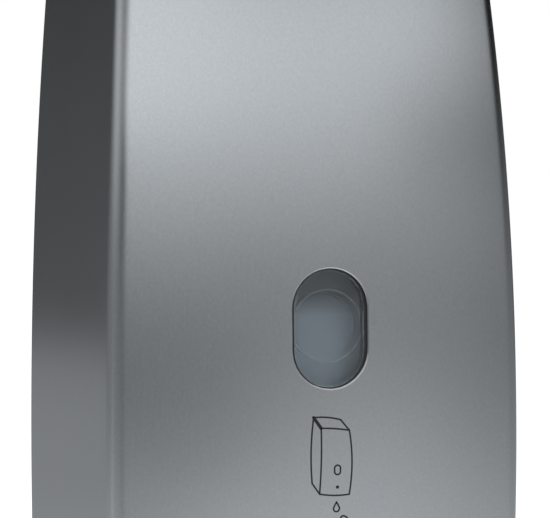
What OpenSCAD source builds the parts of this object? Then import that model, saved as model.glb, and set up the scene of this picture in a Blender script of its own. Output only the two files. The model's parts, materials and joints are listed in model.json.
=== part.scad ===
// Wall mounted, touch-free soap dispenser.
// X runs to the viewer's right, Y runs into the wall and Z runs up. The wall is the plane Y = 0, and the
// origin is the middle of the four wall holes. A "dist" is a distance out from the wall, along -Y.

/* [Case] */
// Width of the cover at its widest level
case_w = 140; // [136:1:160]
// Height of the cover's sides
case_h = 268; // [262:1:300]
// Distance from the wall to the front folds, at the deepest level
case_d = 108; // [106:1:125]
// How far the middle of the front stands out past the folds
front_bulge = 11; // [8:0.5:15]
// Radius of the curve that narrows the sides upward
side_curve_r = 2060; // [1800:20:4000]
// Radius of the curve that leans the front back upward
front_curve_r = 985; // [900:5:2000]
// Level where the case is widest, above its base
widest_level = 47; // [35:1:60]
// Level where the case is deepest, above its base
deepest_level = 62; // [50:1:75]
// Thickness of the cover sheet
sheet_t = 1.2; // [0.8:0.1:1.5]
// Outside radius of the two front folds
fold_r = 7; // [4:0.5:8]
// Outside radius of the top edges
top_r = 4.5; // [3:0.5:7]
// Outside radius of the bottom edges, which curl inward
curl_r = 6; // [4:0.5:7]
// Rise of the top in the middle
top_dome = 3.5; // [2:0.5:5]
// Drop of the bottom edge in the middle
bottom_sag = 3.5; // [2:0.5:5]

/* [Window] */
// Width of the window hole
window_w = 25; // [20:0.5:28]
// Height of the window hole
window_h = 38; // [32:0.5:46]
// Middle of the window, above the case's base
window_level = 101; // [95:1:110]
// Thickness of the clear pane's flange
pane_t = 1.6; // [1.2:0.1:2]
// Width of the band that clamps the pane around the hole
window_band = 3.5; // [2.5:0.5:5]
// Thickness of the rubber gasket
gasket_t = 1; // [0.6:0.1:1.2]
// Level of the indicator lens, above the case's base
indicator_level = 28; // [26:0.5:34]
// Diameter of the indicator hole
indicator_hole_d = 4; // [3:0.5:5]

/* [Wall] */
// Thickness of the steel back plate
plate_t = 2; // [1.5:0.1:2.5]
// Gap between the cover's rear edges and the wall
wall_gap = 0.8; // [0.5:0.1:1.5]
// Sideways distance between the wall holes
wall_hole_dx = 90; // [84:1:92]
// Distance from the wall holes to the case's top and base
wall_hole_inset = 17; // [16.5:0.5:18]
// Diameter of the wall holes
wall_hole_d = 6; // [4.5:0.5:7]

/* [Cover hinge and lock] */
// Distance from the wall to the hinge axis
hinge_dist = 9; // [8.5:0.1:10]
// Height of the hinge axis above the case's base
hinge_level = 7.5; // [7:0.1:8.5]
// Diameter of the hinge pins
hinge_pin_d = 5; // [4:0.5:6]
// Thickness of the hinge ears on the back plate
ear_t = 2; // [1.5:0.1:2.5]
// Width of the hinge lugs inside the cover
lug_w = 5; // [4:0.5:6]
// Distance from the wall to the lock's axis
lock_dist = 16; // [15.5:0.1:16.5]
// Diameter of the lock barrel
barrel_d = 12; // [10:0.5:12.5]
// Reach of the lock cam's tip from the lock's axis
cam_reach = 9; // [8.5:0.1:9.5]

/* [Tank] */
// Gap from the case's outside to the tank's sides
tank_inset = 10; // [10:0.5:14]
// Wall of the tank
tank_t = 2; // [1.5:0.1:3]
// Corner radius of the tank
tank_r = 9; // [6:0.5:12]
// Distance from the wall to the tank's rear
tank_rear = 29; // [28.5:0.5:32]
// Room over the tank's body, up to the case's top
tank_from_top = 66; // [65:1:78]
// Width of the filler mouth
mouth_w = 44; // [36:1:48]
// Depth of the filler mouth
mouth_d = 40; // [32:1:42]
// Height of the collar around the mouth
collar_h = 4; // [3:0.5:5]
// Diameter of the outlet spigot
spigot_d = 12; // [10:0.5:13]
// Sideways place of the spigot, left of the middle
spigot_x = 36.5; // [36.5:0.1:38]
// Thickness of the lid
lid_t = 2.5; // [2:0.1:3]

/* [Shelf and tray] */
// Top of the tank shelf, above the case's base
shelf_level = 70; // [70:0.5:74]
// Thickness of the shelf
shelf_t = 3; // [2.5:0.1:3.5]
// Thickness of the chassis web behind the mechanism
web_t = 4; // [3:0.5:5]
// Thickness of the tray's floor
floor_t = 2; // [1.5:0.1:2.2]
// Height of the tray's floor above the case's base
floor_level = 1.5; // [1:0.1:2]

/* [Pump] */
// Level of the pump's axis, above the case's base
pump_level = 39; // [38.5:0.1:40]
// How far the pump housing's front face lies behind the front folds
pump_inset = 18; // [17:0.5:20]
// Inside radius of the curved track
track_r = 21; // [20.5:0.1:21.5]
// Wall around the track
track_wall = 4; // [3:0.5:4.5]
// Depth of the pocket that holds the rotor
pocket_d = 16; // [15:0.5:17]
// Thickness of the clear pump cover
pump_cover_t = 2; // [1.5:0.1:3]
// Outside diameter of the tube
tube_d = 6.4; // [6:0.1:6.4]
// Wall of the tube
tube_wall = 1.6; // [1.2:0.1:1.7]
// Diameter of the rollers
roller_d = 10; // [9:0.5:10]
// Diameter of the roller pins
roller_pin_d = 2.5; // [2:0.1:3]
// Diameter of the rotor shaft
shaft_d = 4; // [3:0.5:5]

/* [Drive] */
// Gear module
gear_module = 0.8; // [0.75, 0.8]
// Teeth of the motor pinion
pinion_teeth = 14; // [12:1:15]
// Teeth of the drive gear
gear_teeth = 42; // [40:1:44]
// Width of the drive gear
gear_w = 6; // [5:0.5:7]
// Diameter of the motor
motor_d = 24.4; // [22:0.2:25]
// Length of the motor
motor_len = 29; // [26:0.5:30]
// Diameter of the motor shaft
motor_shaft_d = 2; // [1.5:0.1:2.3]
// Thickness of the steel motor plate
motor_plate_t = 2; // [1.5:0.1:2.5]

/* [Electrics] */
// Diameter of a battery cell
cell_d = 14.5; // [14:0.1:14.8]
// Length of a battery cell
cell_len = 50.5; // [49:0.5:51]
// Wall of the battery box
box_t = 1.8; // [1.5:0.1:2]
// Top of the battery box, below the case's top
box_from_top = 26; // [25.5:0.5:28]
// Thickness of the battery door
battery_door_t = 2; // [1.5:0.1:2.2]
// Thickness of the circuit boards
board_t = 1.6; // [1:0.1:2]
// Diameter of the dose knob
knob_d = 15; // [12:0.5:16]

/* [Fits] */
// Radial clearance of pins and shafts that turn
running_gap = 0.05; // [0.03:0.01:0.1]
// Gap between neighbouring pieces that move apart
side_gap = 0.4; // [0.3:0.05:0.6]
// Gap between a piece and the seat that it rests on
seat_gap = 0.3; // [0.2:0.05:0.4]

/* [Hidden] */
$fn = 48;

// ---- levels -------------------------------------------------------------------------------------
case_top = case_h/2;
case_base = -case_h/2;
widest_z = case_base + widest_level;
deepest_z = case_base + deepest_level;
window_z = case_base + window_level;
indicator_z = case_base + indicator_level;
hinge_z = case_base + hinge_level;
wall_hole_z = case_top - wall_hole_inset;
shelf_z = case_base + shelf_level;
shelf_under = shelf_z - shelf_t;
tank_top = case_top - tank_from_top;
floor_under = case_base + floor_level;
floor_top = floor_under + floor_t;
pump_z = case_base + pump_level;
pump_front = case_d - pump_inset;

// ---- outline of the case -------------------------------------------------------------------------
arc_steps = 6;
front_steps = 12;
wall_steps = 12;
edge_steps = 4;

// Half the case's width, and the wall distance of its folds, at level z
function half_w(z) = case_w/2 - pow(z - widest_z, 2)/(2*side_curve_r);
function fold_dist(z) = case_d - pow(z - deepest_z, 2)/(2*front_curve_r);
function front_dist(x, z) = fold_dist(z) + front_bulge*(1 - pow(x/half_w(z), 2));

// Plan outline at level z, moved inward by inset, from the right rear edge round to the left one
function outline(z, inset, r, rear) =
  let(a = half_w(z) - inset,
      slope = atan(2*front_bulge*(a - 0.7*r)/pow(half_w(z), 2)),
      xt = a - r + r*sin(slope),
      arc_dist = front_dist(xt, z) - inset - r*cos(slope),
      corner = [for (k = [0:arc_steps]) let(t = k/arc_steps*(90 - slope))
        [a - r + r*cos(t), -arc_dist - r*sin(t)]],
      side = concat([[a, -rear]], corner),
      front = [for (k = [1:front_steps - 1]) let(x = xt*(1 - 2*k/front_steps))
        [x, inset - front_dist(x, z)]],
      n = len(side))
  concat(side, front, [for (k = [1:n]) [-side[n - k][0], side[n - k][1]]]);

// Rise of the top and drop of the base towards the middle
function sway(x, z) = (z > 0 ? top_dome : bottom_sag)*z/case_top*(1 - pow(x/half_w(z), 2));

// ---- small shapes --------------------------------------------------------------------------------
// A flat outline in X and Z, made solid from wall distance near outward by t
module slab(near, t) {
  translate([0, -near, 0]) rotate([90, 0, 0]) linear_extrude(t) children();
}

// A bar along Y, with its front end at wall distance front and its length len towards the wall
module bar_y(x, front, z, len, r) {
  translate([x, -front, z]) rotate([-90, 0, 0]) cylinder(h = len, r = r);
}

// A bar along X from x0 to x1
module bar_x(x0, x1, dist, z, r) {
  translate([x0, -dist, z]) rotate([0, 90, 0]) cylinder(h = x1 - x0, r = r);
}

// A bar along Z from z0 to z1
module bar_z(x, dist, z0, z1, r) {
  translate([x, -dist, z0]) cylinder(h = z1 - z0, r = r);
}

// A box between two corners given as x, wall distance and level
module block(x0, x1, near, far, z0, z1) {
  translate([x0, -far, z0]) cube([x1 - x0, far - near, z1 - z0]);
}

module rounded(w, h, r) {
  square([w - 2*r, h], center = true);
  square([w, h - 2*r], center = true);
  for (sx = [-1, 1], sy = [-1, 1]) translate([sx*(w/2 - r), sy*(h/2 - r)]) circle(r);
}

// A pill: a tall rectangle with half round ends
module pill(w, h) {
  square([w, h - w], center = true);
  for (s = [-1, 1]) translate([0, s*(h - w)/2]) circle(w/2);
}

// A pan head screw along -Z, with its head's underside at the origin
module screw(d, len, head_d, head_h) {
  difference() {
    union() {
      translate([0, 0, -len]) cylinder(h = len, d = d);
      cylinder(h = head_h, d = head_d);
    }
    for (a = [0, 90]) rotate(a) translate([-head_d*0.3, -0.35, head_h - 0.8]) cube([head_d*0.6, 0.7, 1]);
  }
}

// A tube swept along points, with sides flat faces
function unit(v) = v/norm(v);
function heading(p, i) = unit(p[min(i + 1, len(p) - 1)] - p[max(i - 1, 0)]);
function sweep_ring(c, t, r, sides) =
  let(side = unit(cross(t, abs(t[2]) < 0.9 ? [0, 0, 1] : [1, 0, 0])), up = cross(t, side))
  [for (k = [0:sides - 1]) c + r*(cos(360*k/sides)*side + sin(360*k/sides)*up)];
module wire(points, d, sides = 8) {
  rings = [for (i = [0:len(points) - 1]) sweep_ring(points[i], heading(points, i), d/2, sides)];
  count = len(points);
  polyhedron(
    [for (ring = rings) for (p = ring) p],
    concat(
      [[for (k = [0:sides - 1]) sides - 1 - k]],
      [for (i = [0:count - 2]) for (k = [0:sides - 1])
        let(a = i*sides + k, b = i*sides + (k + 1) % sides) [a, b, b + sides]],
      [for (i = [0:count - 2]) for (k = [0:sides - 1])
        let(a = i*sides + k, b = i*sides + (k + 1) % sides) [a, b + sides, a + sides]],
      [[for (k = [0:sides - 1]) (count - 1)*sides + k]]));
}

// ---- cover ---------------------------------------------------------------------------------------
// Rows of the cover's skin, as [level, inset], at depth t below the outside
function cover_rows(t) = concat(
  [for (k = [0:edge_steps]) let(a = 90*k/edge_steps)
    [case_base + curl_r - (curl_r - t)*cos(a), curl_r - (curl_r - t)*sin(a)]],
  [for (k = [1:wall_steps - 1])
    [case_base + curl_r + (case_h - curl_r - top_r)*k/wall_steps, t]],
  [for (k = [0:edge_steps]) let(a = 90*k/edge_steps)
    [case_top - top_r + (top_r - t)*sin(a), top_r - (top_r - t)*cos(a)]],
  [for (k = [1:4]) [case_top - t, top_r + (half_w(case_top) - top_r - 12)*k/4]]);
// Wall distance of the point where the top's rows meet
top_middle = fold_dist(case_top)/4;
function fold_at(inset) = inset < fold_r ? max(fold_r - inset, 1.2) : min(1.2 + (inset - fold_r)/2, 3.5);
function cover_skin(t) = [for (row = cover_rows(t))
  for (p = outline(row[0], row[1], fold_at(row[1]), wall_gap)) [p[0], p[1], row[0] + sway(p[0], row[0])]];

module cover_shell() {
  cols = 2*(arc_steps + 2) + front_steps - 1;
  rows = len(cover_rows(0));
  inner = rows*cols;
  last = (rows - 1)*cols;
  middle = 2*inner;
  polyhedron(
    concat(cover_skin(0), cover_skin(sheet_t), [for (t = [0, sheet_t]) [0, -top_middle, lock_top - t]]),
    concat(
      [for (i = [0:rows - 2]) for (j = [0:cols - 2]) let(a = i*cols + j) [a, a + 1, a + 1 + cols]],
      [for (i = [0:rows - 2]) for (j = [0:cols - 2]) let(a = i*cols + j) [a, a + 1 + cols, a + cols]],
      [for (i = [0:rows - 2]) for (j = [0:cols - 2]) let(a = inner + i*cols + j) [a, a + 1 + cols, a + 1]],
      [for (i = [0:rows - 2]) for (j = [0:cols - 2]) let(a = inner + i*cols + j) [a, a + cols, a + 1 + cols]],
      // the bottom rim
      [for (j = [0:cols - 2]) [j, inner + j, inner + j + 1]],
      [for (j = [0:cols - 2]) [j, inner + j + 1, j + 1]],
      // the rear rims
      [for (i = [0:rows - 2]) let(a = i*cols) [a, a + cols, inner + a + cols]],
      [for (i = [0:rows - 2]) let(a = i*cols) [a, inner + a + cols, inner + a]],
      [for (i = [0:rows - 2]) let(a = i*cols + cols - 1) [a, inner + a + cols, a + cols]],
      [for (i = [0:rows - 2]) let(a = i*cols + cols - 1) [a, inner + a, inner + a + cols]],
      // the middle of the top
      [for (j = [0:cols - 1]) [last + j, last + (j + 1) % cols, middle]],
      [for (j = [0:cols - 1]) [inner + last + j, middle + 1, inner + last + (j + 1) % cols]],
      [[last, last + cols - 1, inner + last + cols - 1], [last, inner + last + cols - 1, inner + last]]));
}

// Places its children at the window: X sideways, Y inward through the sheet, Z up along it
window_tilt = asin((window_z - deepest_z)/front_curve_r);
module at_window() {
  translate([0, -front_dist(0, window_z), window_z]) rotate([-window_tilt, 0, 0]) children();
}

// A flat outline at the window, from depth d0 to depth d1 below the outside of the sheet
module window_layer(d0, d1) {
  at_window() translate([0, d1, 0]) rotate([90, 0, 0]) linear_extrude(d1 - d0) children();
}

flange_w = window_w + 2*window_band;
flange_h = window_h + 2*window_band;
// Depth that the sheet's curve reaches at the flange's corner
sheet_curve = front_bulge*pow(flange_w/2/half_w(window_z), 2) + pow(flange_h/2, 2)/(2*front_curve_r);
gasket_depth = sheet_t + sheet_curve;
pane_depth = gasket_depth + gasket_t;
retainer_depth = pane_depth + pane_t;
retainer_t = 1.5;
pane_recess = 1.5;
stud_d = 3;
stud_z = flange_h/2 + 3.5;
nut_t = 2.4;
stud_end = retainer_depth + retainer_t + nut_t + 0.2;
lug_outer = half_w(hinge_z) - sheet_t/2;
lug_inner = half_w(hinge_z) - sheet_t - lug_w;
lug_r = 6.5;
ear_outer = lug_inner - side_gap;
ear_inner = ear_outer - ear_t;
lock_hole_d = barrel_d + 2*running_gap;
barrel_head_d = barrel_d + 4;
lock_top = case_top + sway(0, case_top);
barrel_len = 9;

module front_cover() {
  color([0.76, 0.78, 0.79]) difference() {
    union() {
      cover_shell();
      for (s = [-1, 1]) mirror([s < 0 ? 1 : 0, 0, 0]) bar_x(lug_inner, lug_outer, hinge_dist, hinge_z, lug_r);
      // weld studs that hold the window's retainer
      for (s = [-1, 1]) at_window() translate([0, sheet_t/2, s*stud_z]) rotate([-90, 0, 0])
        cylinder(h = stud_end - sheet_t/2, d = stud_d);
    }
    window_layer(-3, sheet_t + 2) pill(window_w, window_h);
    bar_y(0, case_d + front_bulge + 5, indicator_z, 12, indicator_hole_d/2);
    bar_z(0, lock_dist, case_top - 10, case_top + 10, lock_hole_d/2);
    for (s = [-1, 1]) mirror([s < 0 ? 1 : 0, 0, 0])
      bar_x(lug_inner - 1, lug_outer - 1.4, hinge_dist, hinge_z, hinge_pin_d/2 + running_gap);
    // the rear bottom corners are rounded about the hinge axis, so that they turn clear of the wall
    difference() {
      block(-case_w, case_w, -1, hinge_dist, case_base - 10, hinge_z);
      bar_x(-case_w - 1, case_w + 1, hinge_dist, hinge_z, hinge_dist - wall_gap);
    }
  }
}

module window_gasket() {
  color([0.12, 0.12, 0.13]) window_layer(gasket_depth, pane_depth) difference() {
    pill(flange_w, flange_h);
    pill(window_w + 0.4, window_h + 0.4);
  }
}

module window_pane() {
  color([0.75, 0.82, 0.86, 0.35]) union() {
    window_layer(pane_depth, retainer_depth) pill(flange_w, flange_h);
    window_layer(pane_recess, pane_depth + 0.1) pill(window_w - 2*side_gap, window_h - 2*side_gap);
  }
}

module window_retainer() {
  color([0.2, 0.21, 0.22]) window_layer(retainer_depth, retainer_depth + retainer_t) difference() {
    union() {
      pill(flange_w + 4, flange_h + 4);
      for (s = [-1, 1]) translate([0, s*stud_z]) circle(d = stud_d + 6);
    }
    pill(window_w, window_h);
    for (s = [-1, 1]) translate([0, s*stud_z]) circle(d = stud_d + 2*running_gap);
  }
}

module retainer_nuts() {
  color([0.7, 0.71, 0.72]) for (s = [-1, 1]) at_window()
    translate([0, retainer_depth + retainer_t, s*stud_z]) rotate([-90, 0, 0]) difference() {
      cylinder(h = nut_t, d = 6.3, $fn = 6);
      translate([0, 0, -1]) cylinder(h = nut_t + 2, d = stud_d + 2*running_gap);
    }
}

module indicator_lens() {
  lens_front = front_dist(0, indicator_z);
  color([0.85, 0.9, 0.92, 0.5]) {
    bar_y(0, lens_front + 0.3, indicator_z, sheet_t + 1.4, indicator_hole_d/2 - running_gap);
    bar_y(0, lens_front - sheet_t - 0.2, indicator_z, 1.2, indicator_hole_d/2 + 1);
  }
}

module hinge_pins() {
  color([0.72, 0.73, 0.74]) for (s = [-1, 1]) mirror([s < 0 ? 1 : 0, 0, 0]) {
    bar_x(ear_inner - 0.1, lug_outer - 1.5, hinge_dist, hinge_z, hinge_pin_d/2);
    bar_x(ear_inner - 1.2, ear_inner - 0.1, hinge_dist, hinge_z, hinge_pin_d/2 + 1.5);
  }
}

// ---- lock ----------------------------------------------------------------------------------------
plug_r = barrel_d/2 - 2.5;
barrel_bottom = case_top - sheet_t - barrel_len;
cam_t = 1.5;
cam_z = barrel_bottom - 0.2 - cam_t;
cam_w = 5;
tip_r = 1.5;
strike_z = cam_z - 5.5;
strike_t = 2;
strike_end = lock_dist - 5;

module lock_barrel() {
  color([0.78, 0.79, 0.8]) difference() {
    union() {
      bar_z(0, lock_dist, barrel_bottom, lock_top + 0.2, barrel_d/2);
      bar_z(0, lock_dist, lock_top + 0.2, lock_top + 1.7, barrel_head_d/2);
    }
    bar_z(0, lock_dist, barrel_bottom - 1, lock_top + 3, plug_r + running_gap);
  }
}

module lock_nut() {
  color([0.7, 0.71, 0.72]) difference() {
    translate([0, -lock_dist, case_top - sheet_t - 2.6]) rotate(30)
      cylinder(h = 2.5, d = (barrel_d + 2)/cos(30), $fn = 6);
    bar_z(0, lock_dist, case_top - 10, case_top + 1, barrel_d/2 + running_gap);
  }
}

module lock_plug() {
  color([0.82, 0.83, 0.84]) difference() {
    union() {
      bar_z(0, lock_dist, cam_z + cam_t, lock_top + 1.5, plug_r);
      bar_z(0, lock_dist, cam_z, cam_z + cam_t, 2);
    }
    // the key way: a round hole with a middle slot
    bar_z(0, lock_dist, lock_top - 4, lock_top + 3, 1);
    block(-2.4, 2.4, lock_dist - 0.4, lock_dist + 0.4, lock_top - 4, lock_top + 3);
  }
}

module lock_cam() {
  color([0.7, 0.71, 0.72]) difference() {
    union() {
      bar_z(0, lock_dist, cam_z, cam_z + cam_t, 4);
      bar_z(cam_reach, lock_dist, cam_z, cam_z + cam_t, cam_w/2);
      block(0, cam_reach, lock_dist - cam_w/2, lock_dist + cam_w/2, cam_z, cam_z + cam_t);
      bar_z(cam_reach, lock_dist, strike_z - 0.8, cam_z + 0.5, tip_r);
    }
    bar_z(0, lock_dist, cam_z - 1, cam_z + cam_t + 1, 2);
  }
}

// ---- wall side -----------------------------------------------------------------------------------
plate_gap = 1;
plate_top = case_top - sheet_t - 2.5;
plate_low = hinge_z + 9;
ear_top = plate_low - 2;
ear_r = 6.5;

module back_plate() {
  levels = [for (k = [0:8]) plate_low + (plate_top - plate_low)*k/8];
  edge = [for (z = levels) [half_w(z) - sheet_t - plate_gap, z]];
  right = concat([[ear_outer, case_base + 1], [ear_outer, plate_low]], edge);
  n = len(right);
  color([0.62, 0.64, 0.65]) difference() {
    union() {
      slab(0, plate_t) polygon(concat(right, [for (k = [1:n]) [-right[n - k][0], right[n - k][1]]]));
      for (s = [-1, 1]) mirror([s < 0 ? 1 : 0, 0, 0]) {
        bar_x(ear_inner, ear_outer, hinge_dist, hinge_z, ear_r);
        block(ear_inner, ear_outer, plate_t/2, hinge_dist, hinge_z - ear_r, ear_top);
      }
      block(-14, 14, plate_t/2, strike_end, strike_z, strike_z + strike_t);
    }
    for (sx = [-1, 1], sz = [-1, 1])
      bar_y(sx*wall_hole_dx/2, plate_t + 1, sz*wall_hole_z, plate_t + 2, wall_hole_d/2);
    for (s = [-1, 1]) mirror([s < 0 ? 1 : 0, 0, 0])
      bar_x(ear_inner - 1, ear_outer + 1, hinge_dist, hinge_z, hinge_pin_d/2 + running_gap);
    // the curved slot that the cam's tip turns into
    intersection() {
      difference() {
        bar_z(0, lock_dist, strike_z - 1, strike_z + strike_t + 1, cam_reach + tip_r + side_gap);
        bar_z(0, lock_dist, strike_z - 2, strike_z + strike_t + 2, cam_reach - tip_r - side_gap);
      }
      block(-tip_r - 1, 20, 0, lock_dist, strike_z - 3, strike_z + strike_t + 3);
    }
    // holes that let the screws' noses through
    for (x = tray_screws) bar_y(x, plate_t + 1, tray_screw_z, plate_t + 2, screw_d/2 + nose_gap);
    for (x = rail_screws) bar_y(x, plate_t + 1, rail_screw_z, plate_t + 2, screw_d/2 + nose_gap);
    for (x = box_screws) bar_y(x, plate_t + 1, box_screw_z, plate_t + 2, screw_d/2 + nose_gap);
  }
}

screw_d = 3;
screw_head_d = 5.6;
screw_head_h = 1.9;
screw_hole_r = screw_d/2 + running_gap;
nose_gap = 0.2;
// screws through the tray's tongue, at the rails' feet and under the battery box
tray_screws = [-20, 20];
tray_screw_z = floor_top + 5;
web_front = plate_t + web_t;
shelf_inset = 3.5;
rim_inset = tank_inset - side_gap;
rim_h = 4;
rim_t = 2;
socket_r = 9.2;
socket_wall = 2;
socket_depth = 8;
nipple_len = 7;
barb_r = tube_d/2 - tube_wall - running_gap;
spigot_dist = pump_front - pocket_d/2;
rail_w = 3;
gusset_dist = 40;
rail_top = tank_top - 14;
rail_x = 30;
rail_screws = [-rail_x, rail_x];
rail_screw_z = rail_top - 6;
web_w = ear_inner - 1.2 - 2*side_gap;
board_near = 28;
board_x0 = -57;
board_x1 = -14;
board_z0 = pump_z - 14;
board_z1 = shelf_under - 5;
board_screw_in = 4;
board_screw_d = 2.5;
board_screws = [for (x = [board_x0 + board_screw_in, board_x1 - board_screw_in],
  z = [board_z0 + board_screw_in, board_z1 - board_screw_in]) [x, z]];
notch_half = flange_w/2 + 5;
notch_dist = front_dist(0, shelf_z) - tank_inset - 0.5;

module chassis() {
  color([0.3, 0.31, 0.33]) difference() {
    union() {
      // shelf and the rim around the tank's foot
      translate([0, 0, shelf_under]) linear_extrude(shelf_t)
        polygon(outline(shelf_z, shelf_inset, 6, plate_t));
      translate([0, 0, shelf_z - 0.1]) linear_extrude(rim_h + 0.1) difference() {
        polygon(outline(shelf_z, rim_inset - rim_t, tank_r + rim_t, tank_rear - side_gap - rim_t));
        polygon(outline(shelf_z, rim_inset, tank_r, tank_rear - side_gap));
      }
      // web on the back plate, and its two side gussets
      slab(plate_t, web_t) translate([0, (floor_top + shelf_z)/2])
        square([2*web_w, shelf_z - floor_top], center = true);
      for (s = [-1, 1])
        block(s*(web_w - 1) - 1, s*(web_w - 1) + 1, plate_t, gusset_dist, shelf_under - 12, shelf_z);
      // rails that steady the tank
      for (s = [-1, 1]) block(s*rail_x - rail_w/2, s*rail_x + rail_w/2, plate_t, tank_rear - seat_gap,
        shelf_under, rail_top - 12);
      for (s = [-1, 1]) block(s*rail_x - 4, s*rail_x + 4, plate_t, plate_t + 3, rail_top - 13, rail_top);
      // socket for the tank's spigot, with the nipple for the hose
      bar_z(-spigot_x, spigot_dist, shelf_z - socket_depth - 2, shelf_z, socket_r + socket_wall);
      bar_z(-spigot_x, spigot_dist, shelf_z - socket_depth - nipple_len, shelf_z - socket_depth, barb_r);
      // bosses for the control board
      for (p = board_screws) bar_y(p[0], board_near, p[1], board_near - web_front + 1, 2.8);
    }
    // notch that lets the window's retainer swing past
    block(-notch_half, notch_half, notch_dist, case_d + front_bulge + 5,
      shelf_under - 1, shelf_z + rim_h + 1);
    bar_z(-spigot_x, spigot_dist, shelf_z - socket_depth, shelf_z + 1, socket_r);
    bar_z(-spigot_x, spigot_dist, shelf_z - socket_depth - nipple_len - 1, shelf_z, 1);
    // ways to the lower wall screws
    for (s = [-1, 1]) bar_y(s*wall_hole_dx/2, web_front + 1, -wall_hole_z, web_t + 2, 8);
    // hole for the battery wires
    bar_z(wire_x, wire_dist, shelf_under - 1, shelf_z + 1, 3);
    for (x = tray_screws) bar_y(x, web_front + 1, tray_screw_z, web_t + 2, screw_hole_r);
    for (x = rail_screws) bar_y(x, plate_t + 4, rail_screw_z, 5, screw_hole_r);
    for (p = board_screws) bar_y(p[0], board_near + 1, p[1], 9, board_screw_d/2 + running_gap);
    for (x = bracket_screws) bar_z(x, bracket_screw_dist, shelf_under - 1, shelf_z - 0.8, screw_hole_r);
  }
}

tray_inset = curl_r + 1.5;
tray_rim = 5;
tongue_t = 2;
nozzle_dist = spigot_dist;
board_dist = case_d - 3.5;
sensor_board_w = 28;
lens_w = 26;
lens_d = 9;
lens_dist = case_d - 11;

module base_tray() {
  color([0.34, 0.35, 0.37]) difference() {
    union() {
      translate([0, 0, floor_under]) linear_extrude(floor_t)
        polygon(outline(case_base, tray_inset, 5, plate_t));
      translate([0, 0, floor_under]) linear_extrude(floor_t + tray_rim) difference() {
        polygon(outline(case_base, tray_inset, 5, web_front + 0.1));
        polygon(outline(case_base, tray_inset + 2, 4, web_front + 0.1));
      }
      // tongue that is screwed to the web
      block(-28, 28, web_front, web_front + tongue_t, floor_top - 0.5, tray_screw_z + 4);
      // foot of the sensor board
      block(-sensor_board_w/2 - 2, sensor_board_w/2 + 2, board_dist - 3, board_dist, floor_top - 0.5,
        floor_top + 4);
    }
    // room for the hinge ears
    for (s = [-1, 1]) mirror([s < 0 ? 1 : 0, 0, 0])
      block(web_w, case_w, 0, hinge_dist + ear_r + 2, floor_under - 1, floor_top + tray_rim + 1);
    bar_z(0, nozzle_dist, floor_under - 1, floor_top + 1, 6.5);
    block(-lens_w/2, lens_w/2, lens_dist - lens_d/2, lens_dist + lens_d/2, floor_under - 1, floor_top + 5);
    for (x = tray_screws) bar_y(x, web_front + tongue_t + 1, tray_screw_z, tongue_t + 2, screw_hole_r);
  }
}

module screw_to_wall(x, dist, z, d, len) {
  translate([x, -dist, z]) rotate([90, 0, 0]) screw(d, len, d*1.85, d*0.62);
}

module fixing_screws() {
  color([0.72, 0.73, 0.74]) {
    for (x = tray_screws) screw_to_wall(x, web_front + tongue_t, tray_screw_z, screw_d, web_t + 3);
    for (x = rail_screws) screw_to_wall(x, plate_t + 3, rail_screw_z, screw_d, 4);
    for (x = box_screws) screw_to_wall(x, plate_t + 2, box_screw_z, screw_d, 3);
    for (p = board_screws) screw_to_wall(p[0], board_near + board_t, p[1], board_screw_d, 8);
    for (x = bracket_screws) translate([x, -bracket_screw_dist, shelf_under - motor_plate_t])
      rotate([180, 0, 0]) screw(screw_d, 4, screw_head_d, screw_head_h);
  }
}

// ---- tank ----------------------------------------------------------------------------------------
tank_foot = shelf_z + seat_gap;
tank_steps = 8;
mouth_dist = 66;
lid_ear_x = 16;
lid_ear_w = 4;
collar_t = 2.5;
lid_hinge_dist = mouth_dist - mouth_d/2 - 6.5;
lid_axis_z = tank_top + collar_h + seat_gap + lid_t - 0.8;
lid_pin_r = 1.5;
lid_pin_half = lid_ear_x + lid_ear_w;
lid_knuckle_half = lid_ear_x - 0.5;
knuckle_r = 3.3;
ring_r = 11.5;
ring_t = 1.6;
seal_t = 5;
tank_rear_r = 5;

// Closed plan outline of the tank at level z, moved inward by t
function tank_loop(z, t) =
  let(front = outline(z, tank_inset + t, tank_r - t, tank_rear + tank_rear_r),
      r = tank_rear_r - t, x = half_w(z) - tank_inset - t - r, y = -tank_rear - t - r)
  concat(
    [for (k = [0:2]) [-x - r*cos(45*k), y + r*sin(45*k)]],
    [for (k = [0:2]) [x + r*sin(45*k), y + r*cos(45*k)]],
    [for (k = [1:len(front) - 2]) front[k]]);

module tank_loft(t) {
  z0 = tank_foot + t;
  z1 = tank_top - t;
  loops = [for (k = [0:tank_steps]) let(z = z0 + (z1 - z0)*k/tank_steps)
    [for (p = tank_loop(z, t)) [p[0], p[1], z]]];
  n = len(loops[0]);
  polyhedron(
    [for (ring = loops) for (p = ring) p],
    concat(
      [[for (k = [0:n - 1]) n - 1 - k]],
      [for (i = [0:tank_steps - 1]) for (k = [0:n - 1])
        let(a = i*n + k, b = i*n + (k + 1) % n) [a, b, b + n]],
      [for (i = [0:tank_steps - 1]) for (k = [0:n - 1])
        let(a = i*n + k, b = i*n + (k + 1) % n) [a, b + n, a + n]],
      [[for (k = [0:n - 1]) tank_steps*n + k]]));
}

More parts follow.
